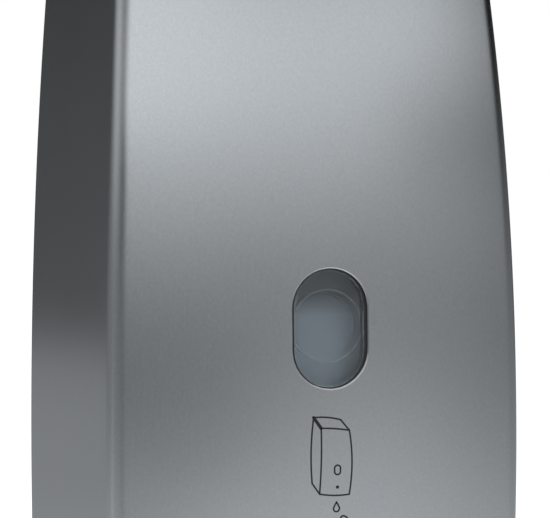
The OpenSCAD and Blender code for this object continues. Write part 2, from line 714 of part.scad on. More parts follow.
module soap_tank() {
  ring_front = front_dist(0, window_z) - tank_inset + 0.6;
  color([0.62, 0.68, 0.72, 0.75]) difference() {
    union() {
      difference() {
        union() {
          tank_loft(0);
          translate([0, -mouth_dist, tank_top - tank_t]) linear_extrude(tank_t + collar_h)
            rounded(mouth_w + 2*collar_t, mouth_d + 2*collar_t, 8);
          bar_z(-spigot_x, spigot_dist, shelf_z - socket_depth + 3, tank_foot + 1, spigot_d/2);
          // ears of the lid's hinge
          for (s = [-1, 1]) mirror([s < 0 ? 1 : 0, 0, 0]) {
            bar_x(lid_ear_x, lid_ear_x + lid_ear_w, lid_hinge_dist, lid_axis_z, knuckle_r);
            block(lid_ear_x, lid_ear_x + lid_ear_w, lid_hinge_dist - knuckle_r, lid_hinge_dist + knuckle_r,
              tank_top - 1, lid_axis_z);
          }
        }
        tank_loft(tank_t);
        translate([0, -mouth_dist, tank_top - 2*tank_t]) linear_extrude(2*tank_t + collar_h + 1)
          rounded(mouth_w, mouth_d, 6);
        bar_z(-spigot_x, spigot_dist, shelf_z - socket_depth, tank_foot + tank_t + 1, spigot_d/2 - 2);
        bar_x(-lid_pin_half - 1, lid_pin_half + 1, lid_hinge_dist, lid_axis_z, lid_pin_r + running_gap);
      }
      // moulded ring that faces the window
      difference() {
        bar_y(0, ring_front, window_z, 2, ring_r);
        bar_y(0, ring_front + 1, window_z, 4, ring_r - ring_t);
      }
    }
  }
}

module tank_seal() {
  color([0.15, 0.15, 0.16]) difference() {
    bar_z(-spigot_x, spigot_dist, shelf_z - socket_depth, shelf_z - socket_depth + seal_t,
      socket_r - running_gap);
    bar_z(-spigot_x, spigot_dist, shelf_z - socket_depth - 1, shelf_z, spigot_d/2 + 2*running_gap);
  }
}

module lid_pin() {
  color([0.75, 0.76, 0.77]) bar_x(-lid_pin_half, lid_pin_half, lid_hinge_dist, lid_axis_z, lid_pin_r);
}

module tank_lid() {
  low = tank_top + collar_h + seat_gap;
  color([0.24, 0.25, 0.27]) difference() {
    union() {
      translate([0, -mouth_dist, low]) linear_extrude(lid_t)
        rounded(mouth_w + 2*collar_t + 1, mouth_d + 2*collar_t + 1, 8);
      bar_x(-lid_knuckle_half, lid_knuckle_half, lid_hinge_dist, lid_axis_z, knuckle_r);
      block(-lid_knuckle_half, lid_knuckle_half, lid_hinge_dist, lid_hinge_dist + 8, low, low + lid_t);
      // lifting tab
      block(-9, 9, mouth_dist + mouth_d/2, mouth_dist + mouth_d/2 + collar_t + 5,
        low + 0.2, low + lid_t - 0.2);
      // spigot that holds the seal
      translate([0, -mouth_dist, low - 2.5]) linear_extrude(2.6) rounded(mouth_w - 6, mouth_d - 6, 4);
    }
    bar_x(-lid_ear_x, lid_ear_x, lid_hinge_dist, lid_axis_z, lid_pin_r + running_gap);
    translate([0, -mouth_dist, low - 3]) linear_extrude(3) rounded(mouth_w - 10, mouth_d - 10, 3);
  }
}

module lid_seal() {
  color([0.62, 0.63, 0.64]) translate([0, -mouth_dist, tank_top + collar_h + seat_gap - 2.4])
    linear_extrude(2.3) difference() {
      rounded(mouth_w - 1, mouth_d - 1, 5.5);
      rounded(mouth_w - 5.9, mouth_d - 5.9, 4);
    }
}

// ---- pump ----------------------------------------------------------------------------------------
rollers = 3;
flat_tube = 2*tube_wall;
track_mid = track_r - flat_tube/2;
roller_orbit = track_r - flat_tube - roller_d/2 - 0.2;
pocket_rear = pump_front - pocket_d;
housing_back = 4;
housing_rear = pocket_rear - housing_back;
gear_room = 10;
case_rear = housing_rear - gear_room;
plate_rear = case_rear - motor_plate_t;
bracket_near = case_rear - 14;
bracket_screws = [-20, 20];
bracket_screw_dist = bracket_near + 6;
pump_half_w = track_r + track_wall;
pump_ear_r = 4;
pump_ears = [for (z = [12, -16], s = [-1, 1]) [s*(pump_half_w + pump_ear_r), z]];
housing_low = 20;
gear_axis_gap = gear_module*(pinion_teeth + gear_teeth)/2;
motor_angle = -8;
motor_x = gear_axis_gap*cos(motor_angle);
motor_z = pump_z + gear_axis_gap*sin(motor_angle);
pump_screw_d = 3;

module at_pump() {
  translate([0, pump_z]) children();
}

module upper_half() {
  intersection() {
    children();
    translate([-100, 0]) square([200, 100]);
  }
}

module pump_outline() {
  upper_half() circle(pump_half_w);
  translate([-pump_half_w, -housing_low]) square([2*pump_half_w, housing_low]);
  for (e = pump_ears) {
    translate(e) circle(pump_ear_r);
    translate([min(e[0], 0), e[1] - pump_ear_r]) square([abs(e[0]), 2*pump_ear_r]);
  }
}

module ear_holes() {
  for (e = pump_ears) translate(e) circle(pump_screw_d/2 + running_gap);
}

module pump_housing() {
  color([0.86, 0.87, 0.86]) difference() {
    slab(housing_rear, housing_back + pocket_d) at_pump() difference() {
      pump_outline();
      ear_holes();
    }
    slab(pocket_rear, pocket_d + 1) at_pump() {
      upper_half() circle(track_r);
      circle(track_r - flat_tube + 0.4);
      for (s = [-1, 1]) translate([s*tube_side_x, -housing_low/2 - 0.5])
        square([tube_d + 0.2, housing_low + 1], center = true);
    }
    bar_y(0, pocket_rear + 1, pump_z, housing_back + 2, bush_r);
  }
}

module pump_cover() {
  color([0.8, 0.85, 0.88, 0.45]) slab(pump_front, pump_cover_t) at_pump() difference() {
    pump_outline();
    ear_holes();
  }
}

module gear_case() {
  color([0.25, 0.26, 0.28]) difference() {
    slab(case_rear, gear_room) at_pump() difference() {
      union() {
        pump_outline();
        translate([motor_x, motor_z - pump_z]) circle(10);
      }
      ear_holes();
      circle(gear_module*gear_teeth/2 + 2.5);
      translate([motor_x, motor_z - pump_z]) circle(8);
    }
  }
}

module motor_plate() {
  edge = pump_half_w + 2*pump_ear_r;
  color([0.66, 0.68, 0.69]) difference() {
    union() {
      slab(plate_rear, motor_plate_t) translate([-edge, pump_z - housing_low])
        square([2*edge + 3, shelf_under - pump_z + housing_low]);
      block(-edge, edge + 3, bracket_near, case_rear, shelf_under - motor_plate_t, shelf_under);
    }
    slab(plate_rear - 1, motor_plate_t + 2) at_pump() {
      ear_holes();
      circle(bush_r);
      translate([motor_x, motor_z - pump_z]) circle(4.1);
    }
    for (x = bracket_screws)
      bar_z(x, bracket_screw_dist, shelf_under - motor_plate_t - 1, shelf_under + 1, screw_hole_r);
  }
}

module pump_screws() {
  color([0.72, 0.73, 0.74]) for (e = pump_ears)
    screw_to_wall(e[0], pump_front + pump_cover_t, pump_z + e[1], pump_screw_d,
      pump_front + pump_cover_t - plate_rear + 2);
}

bush_r = shaft_d/2 + 2;
module shaft_bushes() {
  seats = [[housing_rear, housing_back], [plate_rear, motor_plate_t]];
  color([0.72, 0.55, 0.3]) for (b = seats) difference() {
    bar_y(0, b[0] + b[1], pump_z, b[1], bush_r);
    bar_y(0, b[0] + b[1] + 1, pump_z, b[1] + 2, shaft_d/2 + running_gap);
  }
}

rotor_rear = pocket_rear + 1;
rotor_front = pump_front - 1;
disc_t = 2;
hub_r = 6;
disc_r = roller_orbit + roller_pin_d/2 + 2.2;

module pump_rotor() {
  color([0.9, 0.9, 0.88]) translate([0, 0, pump_z]) rotate([90, 0, 0]) difference() {
    union() {
      translate([0, 0, rotor_rear]) cylinder(h = disc_t, r = disc_r);
      translate([0, 0, rotor_front - disc_t]) cylinder(h = disc_t, r = disc_r);
      translate([0, 0, rotor_rear]) cylinder(h = rotor_front - rotor_rear, r = hub_r);
    }
    translate([0, 0, rotor_rear - 1]) cylinder(h = rotor_front - rotor_rear + 2, r = shaft_d/2);
    for (k = [0:rollers - 1]) rotate(90 + 360*k/rollers) translate([roller_orbit, 0, rotor_rear - 1])
      cylinder(h = rotor_front - rotor_rear + 2, r = roller_pin_d/2);
  }
}

module rotor_shaft() {
  color([0.78, 0.79, 0.8]) bar_y(0, rotor_front, pump_z, rotor_front - plate_rear, shaft_d/2);
}

module roller_pins() {
  color([0.78, 0.79, 0.8]) for (k = [0:rollers - 1]) let(a = 90 + 360*k/rollers)
    bar_y(roller_orbit*cos(a), rotor_front, pump_z + roller_orbit*sin(a), rotor_front - rotor_rear,
      roller_pin_d/2);
}

module roller(k) {
  a = 90 + 360*k/rollers;
  x = roller_orbit*cos(a);
  z = pump_z + roller_orbit*sin(a);
  room = rotor_front - rotor_rear - 2*disc_t - 2*seat_gap;
  front = rotor_front - disc_t - seat_gap;
  color([0.2, 0.2, 0.21]) difference() {
    bar_y(x, front, z, room, roller_d/2);
    bar_y(x, front + 1, z, room + 2, roller_pin_d/2 + running_gap);
  }
}
module roller_1() { roller(0); }
module roller_2() { roller(1); }
module roller_3() { roller(2); }

// Involute spur gear outline, thinned by slack at the pitch circle
function involute(base, t) = base*[cos(t) + t*PI/180*sin(t), sin(t) - t*PI/180*cos(t)];
function spin2(p, a) = [p[0]*cos(a) - p[1]*sin(a), p[0]*sin(a) + p[1]*cos(a)];
module gear_outline(teeth, slack) {
  pitch = gear_module*teeth/2;
  base = pitch*cos(20);
  tip = pitch + 0.9*gear_module;
  root = pitch - 1.2*gear_module;
  tip_t = sqrt(pow(tip/base, 2) - 1)*180/PI;
  pitch_t = sqrt(pow(pitch/base, 2) - 1)*180/PI;
  pitch_p = involute(base, pitch_t);
  half = 90/teeth - slack/pitch*90/PI + atan2(pitch_p[1], pitch_p[0]);
  flank = [for (k = [0:4]) involute(base, tip_t*k/4)];
  polygon([for (i = [0:teeth - 1]) let(a = 360*i/teeth) each concat(
    [spin2([root, 0], a - half)],
    [for (p = flank) spin2(p, a - half)],
    [for (k = [4:-1:0]) spin2([flank[k][0], -flank[k][1]], a + half)],
    [spin2([root, 0], a + half)])]);
}

gear_rear = case_rear + 2;
tooth_slack = 0.12;
module drive_gear() {
  color([0.92, 0.91, 0.87]) translate([0, 0, pump_z]) rotate([90, 0, 0]) translate([0, 0, gear_rear])
    linear_extrude(gear_w) difference() {
      // a tooth points at the motor
      rotate(motor_angle) gear_outline(gear_teeth, tooth_slack);
      circle(shaft_d/2);
    }
}

module motor_pinion() {
  color([0.78, 0.66, 0.4]) translate([motor_x, 0, motor_z]) rotate([90, 0, 0]) {
    translate([0, 0, gear_rear]) linear_extrude(gear_w) difference() {
      // a gap faces the drive gear
      rotate(motor_angle + 180 + 180/pinion_teeth) gear_outline(pinion_teeth, tooth_slack);
      circle(motor_shaft_d/2);
    }
    translate([0, 0, plate_rear + 0.5]) cylinder(h = gear_rear + gear_w - plate_rear, r = motor_shaft_d/2);
  }
}

motor_rear = plate_rear - motor_len;
terminal_x = 7;
terminal_len = 4;
module motor() {
  color([0.7, 0.71, 0.72]) difference() {
    union() {
      bar_y(motor_x, plate_rear, motor_z, motor_len, motor_d/2);
      bar_y(motor_x, plate_rear + 1.8, motor_z, 2.8, 4);
      bar_y(motor_x, motor_rear + 0.1, motor_z, 1.6, 4);
      for (s = [-1, 1]) translate([motor_x + s*terminal_x, 0, 0])
        block(-1.2, 1.2, motor_rear - terminal_len, motor_rear + 0.1, motor_z - 0.3, motor_z + 0.3);
    }
    bar_y(motor_x, plate_rear + 3, motor_z, 4, motor_shaft_d/2 + running_gap);
  }
}

// ---- tubes ---------------------------------------------------------------------------------------
tube_dist = pump_front - pocket_d/2;
tube_side_x = track_r - tube_d/2 + 0.2;
tube_slack = 0.2;
flat_x = track_mid - tube_slack/2;
flat_w = tube_d + 2;
flat_run = 12;
connector_z = pump_z - housing_low - 0.3;
hose_top = shelf_z - socket_depth - 2;

module tube_bore(z0, z1, x) {
  bar_z(x, tube_dist, z0, z1, tube_d/2 - tube_wall);
}

module pump_tube() {
  color([0.85, 0.82, 0.75]) union() {
    // squeezed flat along the track
    translate([0, -tube_dist, pump_z]) rotate([90, 0, 0]) rotate_extrude(angle = 180)
      translate([flat_x, 0]) pill(flat_tube - tube_slack, flat_w);
    for (s = [-1, 1]) {
      translate([s*flat_x, -tube_dist, pump_z - flat_run]) linear_extrude(flat_run)
        pill(flat_tube - tube_slack, flat_w);
      difference() {
        bar_z(s*tube_side_x, tube_dist, connector_z, pump_z - flat_run, tube_d/2);
        tube_bore(connector_z - 1, pump_z - flat_run - 1, s*tube_side_x);
      }
    }
  }
}

module tube_connectors() {
  color([0.9, 0.9, 0.9]) for (s = [-1, 1]) {
    bar_z(s*tube_side_x, tube_dist, connector_z - 1.5, connector_z, tube_d/2 + 0.8);
    bar_z(s*tube_side_x, tube_dist, connector_z - 2, connector_z + 5, barb_r);
  }
}

module inlet_hose() {
  low = connector_z - 1.5;
  bend = (spigot_x - tube_side_x)/2;
  color([0.8, 0.84, 0.86, 0.7]) difference() {
    union() {
      bar_z(-spigot_x, tube_dist, low, hose_top, tube_d/2);
      translate([-tube_side_x - bend, -tube_dist, low]) rotate([-90, 0, 0])
        rotate_extrude(angle = 180) translate([bend, 0]) circle(tube_d/2);
    }
    bar_z(-spigot_x, tube_dist, low, hose_top + 1, tube_d/2 - tube_wall);
    translate([-tube_side_x - bend, -tube_dist, low]) rotate([-90, 0, 0])
      rotate_extrude(angle = 180) translate([bend, 0]) circle(tube_d/2 - tube_wall);
  }
}

elbow_r = 6;
elbow_z = connector_z - 1.5 - elbow_r;
module outlet_hose() {
  color([0.8, 0.84, 0.86, 0.7]) difference() {
    union() {
      translate([tube_side_x - elbow_r, -tube_dist, elbow_z + elbow_r]) rotate([-90, 0, 0])
        rotate_extrude(angle = 90) translate([elbow_r, 0]) circle(tube_d/2);
      bar_x(nozzle_barb, tube_side_x - elbow_r, tube_dist, elbow_z, tube_d/2);
    }
    translate([tube_side_x - elbow_r, -tube_dist, elbow_z + elbow_r]) rotate([-90, 0, 0])
      rotate_extrude(angle = 90) translate([elbow_r, 0]) circle(tube_d/2 - tube_wall);
    bar_x(nozzle_barb - 1, tube_side_x - elbow_r, tube_dist, elbow_z, tube_d/2 - tube_wall);
  }
}

nozzle_r = 5.5;
nozzle_barb = nozzle_r + 0.6;
nozzle_low = floor_under - 5;
module nozzle() {
  color([0.16, 0.16, 0.17]) difference() {
    union() {
      bar_z(0, nozzle_dist, floor_under, elbow_z + 4.5, nozzle_r);
      bar_z(0, nozzle_dist, floor_top, floor_top + 1.5, nozzle_r + 3);
      translate([0, -nozzle_dist, nozzle_low])
        cylinder(h = floor_under - nozzle_low, r1 = 4.2, r2 = nozzle_r);
      bar_x(0, nozzle_barb + 5, nozzle_dist, elbow_z, barb_r);
    }
    bar_z(0, nozzle_dist, nozzle_low - 1, elbow_z, 1.6);
    bar_x(0, nozzle_barb + 6, nozzle_dist, elbow_z, 0.9);
    bar_z(0, nozzle_dist, nozzle_low - 1, nozzle_low + 2.2, 2.8);
  }
}

module nozzle_valve() {
  color([0.75, 0.76, 0.75]) difference() {
    union() {
      bar_z(0, nozzle_dist, nozzle_low - 0.6, nozzle_low + 2, 2.7);
      translate([0, -nozzle_dist, nozzle_low - 3]) cylinder(h = 2.6, r1 = 1.2, r2 = 2.7);
    }
    bar_z(0, nozzle_dist, nozzle_low - 1.6, nozzle_low + 3, 1.4);
    block(-1, 1, nozzle_dist - 0.15, nozzle_dist + 0.15, nozzle_low - 4, nozzle_low);
  }
}

// ---- electrics -----------------------------------------------------------------------------------
module control_board() {
  color([0.1, 0.36, 0.2]) difference() {
    block(board_x0, board_x1, board_near, board_near + board_t, board_z0, board_z1);
    for (p = board_screws)
      bar_y(p[0], board_near + board_t + 1, p[1], board_t + 2, board_screw_d/2 + running_gap);
  }
}

board_face = board_near + board_t;
board_mid_x = (board_x0 + board_x1)/2;
board_mid_z = (board_z0 + board_z1)/2;
socket_h = 5.5;
top_sockets = [board_mid_x - 4, board_mid_x + 9];
module board_components() {
  color([0.14, 0.14, 0.15]) {
    // controller, regulator and two capacitors
    translate([board_mid_x, 0, board_mid_z]) {
      block(-6, 6, board_face, board_face + 1.8, -6, 6);
      block(-12, -9, board_face, board_face + 1.4, -3, 1);
      for (x = [11, -16]) bar_y(x, board_face + 8, -4, 8, 3.1);
      block(15, 18, board_face, board_face + 4, 4, 9);
    }
    // sockets for the wires
    for (x = top_sockets) block(x - 4, x + 4, board_face, board_face + socket_h, board_z1 - 6, board_z1 - 1);
    block(board_mid_x - 5, board_mid_x + 6, board_face, board_face + socket_h, board_z0 + 0.8, board_z0 + 5);
  }
}

module sensor_board() {
  color([0.1, 0.36, 0.2]) block(-sensor_board_w/2, sensor_board_w/2, board_dist, board_dist + board_t,
    floor_top + seat_gap, indicator_z + 6);
}

module sensor_leds() {
  face = board_dist + board_t;
  color([0.7, 0.72, 0.74]) {
    // indicator
    bar_y(0, face + 3.2, indicator_z, 3.2, 1.5);
    // infrared emitter and receiver, looking down through the lens
    for (x = [-8, 8]) {
      bar_z(x, lens_dist, floor_top + 0.6, floor_top + 7, 2.5);
      block(x - 2, x + 2, lens_dist, board_dist, floor_top + 4.8, floor_top + 6.6);
    }
  }
}

module sensor_lens() {
  color([0.12, 0.05, 0.07]) union() {
    block(-lens_w/2 + 0.1, lens_w/2 - 0.1, lens_dist - lens_d/2 + 0.1, lens_dist + lens_d/2 - 0.1,
      floor_under - 0.6, floor_top - 0.4);
  }
}

box_top = case_top - box_from_top;
box_half = cell_len + 6;
cell_pitch = cell_d + 1.7;
box_low = box_top - 2*cell_pitch - 2*box_t;
box_near = plate_t;
cell_dist = box_near + box_t + cell_d/2 + 0.5;
box_front = box_near + box_t + cell_d + 4;
box_screw_x = 40;
box_screws = [-box_screw_x, box_screw_x];
box_screw_z = box_low - 3.5;
wire_x = 6.5 - box_half;
wire_dist = 12;
groove_gap = 0.3;
groove_wall = 5;
door_bottom = box_low + box_t + seat_gap;

module battery_box() {
  lip = battery_door_t + 2*groove_gap;
  color([0.22, 0.23, 0.24]) difference() {
    union() {
      slab(box_near, box_front - box_near) translate([0, (box_low + box_top)/2])
        square([2*box_half, box_top - box_low], center = true);
      // grooves for the door
      for (s = [-1, 1]) mirror([s < 0 ? 1 : 0, 0, 0]) {
        block(box_half - groove_wall, box_half, box_front - 1, box_front + lip + 1.4, box_low, box_top);
        block(box_half - groove_wall - 2, box_half, box_front + lip, box_front + lip + 1.4, box_low, box_top);
      }
      block(-box_half, box_half, box_front - 1, box_front + lip + 1.4, box_low, box_low + box_t);
      for (x = box_screws) block(x - 5, x + 5, box_near, box_near + 2, box_low - 7, box_low + 1);
    }
    for (s = [-1, 1]) mirror([s < 0 ? 1 : 0, 0, 0])
      block(box_t/2, box_half - box_t, box_near + box_t, box_front + 1, box_low + box_t, box_top - box_t);
    for (x = box_screws) bar_y(x, box_near + 3, box_screw_z, 4, screw_hole_r);
    // outlet for the wires
    bar_z(wire_x, wire_dist, box_low - 1, box_low + box_t + 1, 1.5);
  }
}

module battery_door() {
  near = box_front + groove_gap;
  w = box_half - groove_wall - groove_gap;
  color([0.26, 0.27, 0.28]) union() {
    block(-w, w, near, near + battery_door_t, door_bottom, box_top - 0.4);
    for (z = [0:3]) block(-12, 12, near + battery_door_t - 0.1, near + battery_door_t + 0.7,
      box_top - 6 - 2.2*z, box_top - 5 - 2.2*z);
  }
}

module battery_cells() {
  color([0.35, 0.36, 0.38]) for (row = [-1, 1], s = [-1, 1]) {
    z = (box_low + box_top)/2 + row*cell_pitch/2;
    start = s > 0 ? box_t/2 + 2.2 : -box_t/2 - 2.2 - cell_len + 1;
    bar_x(start, start + cell_len - 1, cell_dist, z, cell_d/2);
    tip = row > 0 ? start + cell_len - 1.1 : start - 1;
    bar_x(tip, tip + 1.1, cell_dist, z, 2.8);
  }
}

module battery_contacts() {
  color([0.8, 0.8, 0.79]) for (row = [-1, 1], s = [-1, 1]) mirror([s < 0 ? 1 : 0, 0, 0]) {
    z = (box_low + box_top)/2 + row*cell_pitch/2;
    block(box_half - box_t - 0.6, box_half - box_t - 0.1, cell_dist - 5, cell_dist + 5, z - 5, z + 5);
    bar_x(box_t/2 + 0.1, box_t/2 + 0.9, cell_dist, z, 4.5);
  }
}

switch_x0 = 35;
switch_x1 = 59;
switch_front = case_d - 8;
switch_near = switch_front - 20;
switch_wall = 1.6;
switch_low = pump_z - 11;
rocker_z = shelf_under - 11;
knob_z = switch_low + knob_d/2 + 1;
switch_mid = (switch_x0 + switch_x1)/2;

module switch_box() {
  color([0.28, 0.29, 0.31]) difference() {
    block(switch_x0, switch_x1, switch_near, switch_front, switch_low, shelf_under);
    block(switch_x0 + switch_wall, switch_x1 - switch_wall, switch_near - 1, switch_front - switch_wall,
      switch_low + switch_wall, shelf_under - switch_wall);
    translate([switch_mid, 0, 0]) {
      block(-5.2, 5.2, switch_front - 5, switch_front + 1, rocker_z - 7.2, rocker_z + 7.2);
      bar_y(0, switch_front + 1, knob_z, 5, 3.6);
    }
  }
}

module power_switch() {
  color([0.08, 0.08, 0.09]) translate([switch_mid, 0, rocker_z]) difference() {
    union() {
      block(-5.1, 5.1, switch_front - 12, switch_front, -7.1, 7.1);
      block(-6.4, 6.4, switch_front, switch_front + 1.2, -8.4, 8.4);
    }
    block(-3.9, 3.9, switch_front - 6, switch_front + 2, -6.2, 6.2);
  }
}

rocker_tilt = 8;
module power_rocker() {
  color([0.7, 0.1, 0.08]) translate([switch_mid, -switch_front + 1, rocker_z]) rotate([rocker_tilt, 0, 0])
    intersection() {
      rotate([0, 90, 0]) translate([0, 0, -3.5]) cylinder(h = 7, r = 5.4);
      translate([-4, -2.6, -6]) cube([8, 5.6, 12]);
    }
}

module dose_pot() {
  color([0.35, 0.36, 0.38]) translate([switch_mid, 0, knob_z]) {
    block(-5.5, 5.5, switch_front - 10, switch_front - switch_wall - 0.1, -5.5, 4.5);
    difference() {
      bar_y(0, switch_front, 0, 2, 3.5);
      bar_y(0, switch_front + 1, 0, 3, 1.5 + running_gap);
    }
  }
}

module dose_knob() {
  color([0.85, 0.86, 0.86]) translate([switch_mid, 0, knob_z]) difference() {
    union() {
      bar_y(0, switch_front + 1, 0, 2.5, 1.5);
      bar_y(0, switch_front + 5, 0, 4.7, knob_d/2 - 1);
      bar_y(0, switch_front + 1.5, 0, 1.2, knob_d/2);
    }
    // pointer groove
    block(-0.5, 0.5, switch_front + 4.3, switch_front + 6, 1, knob_d);
  }
}

// ---- wires ---------------------------------------------------------------------------------------
// Routes as [x, -wall distance, level], from where each wire starts to where it ends
wire_d = 2.4;
plug_dist = board_face + 2.8;
under_shelf = shelf_under - 3;
battery_plug_x = top_sockets[0] - 2.5;
battery_route = concat(
  [[wire_x, -wire_dist, box_low + 0.9]],
  [for (k = [1:4]) [wire_x, -wire_dist, box_low + (shelf_z + 4 - box_low)*k/4]],
  [[wire_x, -wire_dist - 2, shelf_under - 1], [wire_x + 3, -wire_dist - 12, under_shelf],
    [battery_plug_x - 1, -plug_dist + 1.4, board_z1 + 1.4], [battery_plug_x, -plug_dist, board_z1 + 0.6],
    [battery_plug_x, -plug_dist, board_z1 - 0.9]]);
motor_start = [board_mid_x + 18.1, -board_face - 2, board_mid_z + 6.5];
motor_end = [motor_x - terminal_x, terminal_len - motor_rear + 0.1, motor_z];
motor_route = [motor_start, motor_start + [5.4, -0.4, 0], motor_start + [13.4, 2.6, -2],
  motor_end + [-11.2, 0.9, 8.1], motor_end + [-4.2, 2.9, 3.1], motor_end + [-0.2, 2.7, 0.7], motor_end];
sensor_start = [board_mid_x - 0.5, -plug_dist, board_z0 + 0.7];
sensor_end = [-12.5, 0.1 - board_dist, floor_top + 9];
sensor_route = [sensor_start, sensor_start + [0, -0.6, -7.7], sensor_start + [6, -3.6, -15.7],
  sensor_start + [16, -11.6, -19.2], sensor_start + [23.5, -23.6, -19.7], sensor_end + [0, 29.4, -6.5],
  sensor_end + [0, 12.4, -5.5], sensor_end + [0, 5.4, -1.1], sensor_end + [0, 2.4, 0], sensor_end];
switch_start = [top_sockets[1] + 0.5, -plug_dist, board_z1 - 0.9];
switch_end = [switch_mid, 12.1 - switch_front, rocker_z + 1];
switch_route = [switch_start, switch_start + [0, 0, 1.7],
  [top_sockets[1] + 4.5, -plug_dist - 2.6, under_shelf],
  [0, 8 - bracket_near, under_shelf], [switch_mid - 23, 8 - bracket_near, under_shelf],
  [switch_mid - 7, 4 - bracket_near, under_shelf], [switch_mid, -bracket_near - 6, under_shelf],
  switch_end + [0, 17.9, 5], switch_end + [0, 5.9, 1], switch_end];
module battery_wires() { color([0.75, 0.1, 0.08]) wire(battery_route, wire_d); }
module motor_wires() { color([0.1, 0.2, 0.6]) wire(motor_route, wire_d); }
module sensor_wires() { color([0.85, 0.85, 0.85]) wire(sensor_route, wire_d); }
module switch_wires() { color([0.1, 0.1, 0.1]) wire(switch_route, wire_d); }

front_cover();
window_gasket();
window_pane();
window_retainer();
retainer_nuts();
indicator_lens();
hinge_pins();
lock_barrel();
lock_nut();
lock_plug();
lock_cam();
back_plate();
chassis();
base_tray();
fixing_screws();
tank_seal();
soap_tank();
lid_pin();
tank_lid();
lid_seal();
motor_plate();
gear_case();
pump_housing();
pump_cover();
pump_screws();
shaft_bushes();
pump_rotor();
rotor_shaft();
drive_gear();
roller_pins();
roller_1();
roller_2();
roller_3();
motor();
motor_pinion();
pump_tube();
tube_connectors();
inlet_hose();
outlet_hose();
nozzle();
nozzle_valve();
control_board();
board_components();
sensor_board();
sensor_leds();
sensor_lens();
battery_box();
battery_door();
battery_cells();
battery_contacts();
switch_box();
power_switch();
power_rocker();
dose_pot();
dose_knob();
battery_wires();
motor_wires();
sensor_wires();
switch_wires();
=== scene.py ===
"""Looks of a wall mounted soap dispenser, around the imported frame.

Metres throughout. The wall is at y = 0 and the room is towards -y.
"""

import json
import math

import bmesh
import bpy
from mathutils import Matrix, Vector

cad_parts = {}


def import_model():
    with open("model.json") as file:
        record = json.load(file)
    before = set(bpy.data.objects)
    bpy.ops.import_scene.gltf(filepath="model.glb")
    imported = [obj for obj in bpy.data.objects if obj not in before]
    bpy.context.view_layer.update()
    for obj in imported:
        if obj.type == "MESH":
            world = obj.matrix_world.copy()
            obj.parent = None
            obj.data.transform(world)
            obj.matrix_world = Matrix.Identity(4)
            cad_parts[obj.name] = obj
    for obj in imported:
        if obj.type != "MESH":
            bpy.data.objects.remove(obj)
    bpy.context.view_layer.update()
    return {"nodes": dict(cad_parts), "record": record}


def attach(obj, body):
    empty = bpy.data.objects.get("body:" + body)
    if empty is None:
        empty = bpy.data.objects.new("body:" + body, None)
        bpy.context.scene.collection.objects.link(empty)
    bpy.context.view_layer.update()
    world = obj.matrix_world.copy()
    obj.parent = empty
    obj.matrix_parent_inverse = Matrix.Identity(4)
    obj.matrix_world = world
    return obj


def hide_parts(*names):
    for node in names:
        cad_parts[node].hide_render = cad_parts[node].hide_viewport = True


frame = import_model()
NODES = frame["nodes"]
MM = 0.001

# ---- sizes of the case, as in the frame ------------------------------------------------------------
CASE_W, CASE_D = 0.140, 0.108
CASE_TOP = 0.134
CASE_BASE = -CASE_TOP
FRONT_BULGE = 0.011
SIDE_CURVE_R, FRONT_CURVE_R = 2.060, 0.985
WIDEST_Z, DEEPEST_Z = -0.087, -0.072
TOP_DOME = 0.0035
SHEET_T = 0.0012
FOLD_R, TOP_R, CURL_R = 0.0070, 0.0045, 0.006
WALL_GAP = 0.0008
WINDOW_W, WINDOW_H, WINDOW_Z = 0.025, 0.038, -0.033
WINDOW_TILT = math.asin((WINDOW_Z - DEEPEST_Z) / FRONT_CURVE_R)
PANE_RECESS, PANE_DEPTH, RETAINER_DEPTH, LIP_FRONT = 0.0015, 0.0030, 0.0046, 0.0010
FLANGE_W, FLANGE_H = 0.032, 0.045
STUD_Z, STUD_R, STUD_END = 0.026, 0.0015, 0.0087
INDICATOR_Z, INDICATOR_R = -0.106, 0.002
HINGE_DIST, HINGE_Z = 0.009, -0.1265
LOCK_DIST, LOCK_HOLE_R = 0.016, 0.00605
LUG_INNER, LUG_OUTER, LUG_R, LUG_HOLE_R = 0.0634, 0.0692, 0.0065, 0.0026
FLOOR_Z = -0.2450
PAPER_Z = -0.2400

# ---- sizes of what is inside -----------------------------------------------------------------------
TANK_INSET, TANK_R, TANK_REAR, TANK_REAR_R, TANK_T = 0.010, 0.009, 0.029, 0.005, 0.002
TANK_FOOT, TANK_TOP, TANK_EDGE = -0.0637, 0.068, 0.003
MOUTH_W, MOUTH_D, MOUTH_DIST, COLLAR_T, COLLAR_H = 0.044, 0.040, 0.066, 0.0025, 0.004
LID_DIST, LID_Z, EAR_X, EAR_W, KNUCKLE_R, LID_PIN_R = 0.0395, 0.074, 0.016, 0.004, 0.0033, 0.00155
SPIGOT_X, SPIGOT_DIST, SPIGOT_LOW, SPIGOT_R = -0.0365, 0.082, -0.069, 0.006
RING_R, RING_T = 0.0115, 0.0016
# the soap's level; above it the tank is painted darker, which also stands for painted shade under the top of
# the window
SOAP_AND_SHADE_LEVEL = -0.0262
LOCK_TOP, BARREL_R, BARREL_HEAD_R, BARREL_LOW, PLUG_R = 0.1375, 0.006, 0.008, 0.1238, 0.0035
CAM_Z, CAM_T = 0.1221, 0.0015
NOZZLE_DIST, NOZZLE_LOW, NOZZLE_TOP, NOZZLE_R = 0.082, -0.1375, -0.1183, 0.0055
TRAY_LOW, TRAY_TOP, ELBOW_Z, BARB_R = -0.1325, -0.1305, -0.1228, 0.00155
CELL_R, CELL_LEN, CELL_DIST, CELL_START, CELL_ROWS = 0.00725, 0.0495, 0.01155, 0.0031, (0.0981, 0.0819)
KNOB_X, KNOB_Z, KNOB_R, SWITCH_FRONT = 0.047, -0.0975, 0.0075, 0.100
MOTOR_X, MOTOR_Z, MOTOR_R, MOTOR_FRONT, MOTOR_LEN = 0.02218, -0.09812, 0.0122, 0.058, 0.029
BOARD_X, BOARD_Z, BOARD_FACE = -0.0355, -0.0905, 0.0296
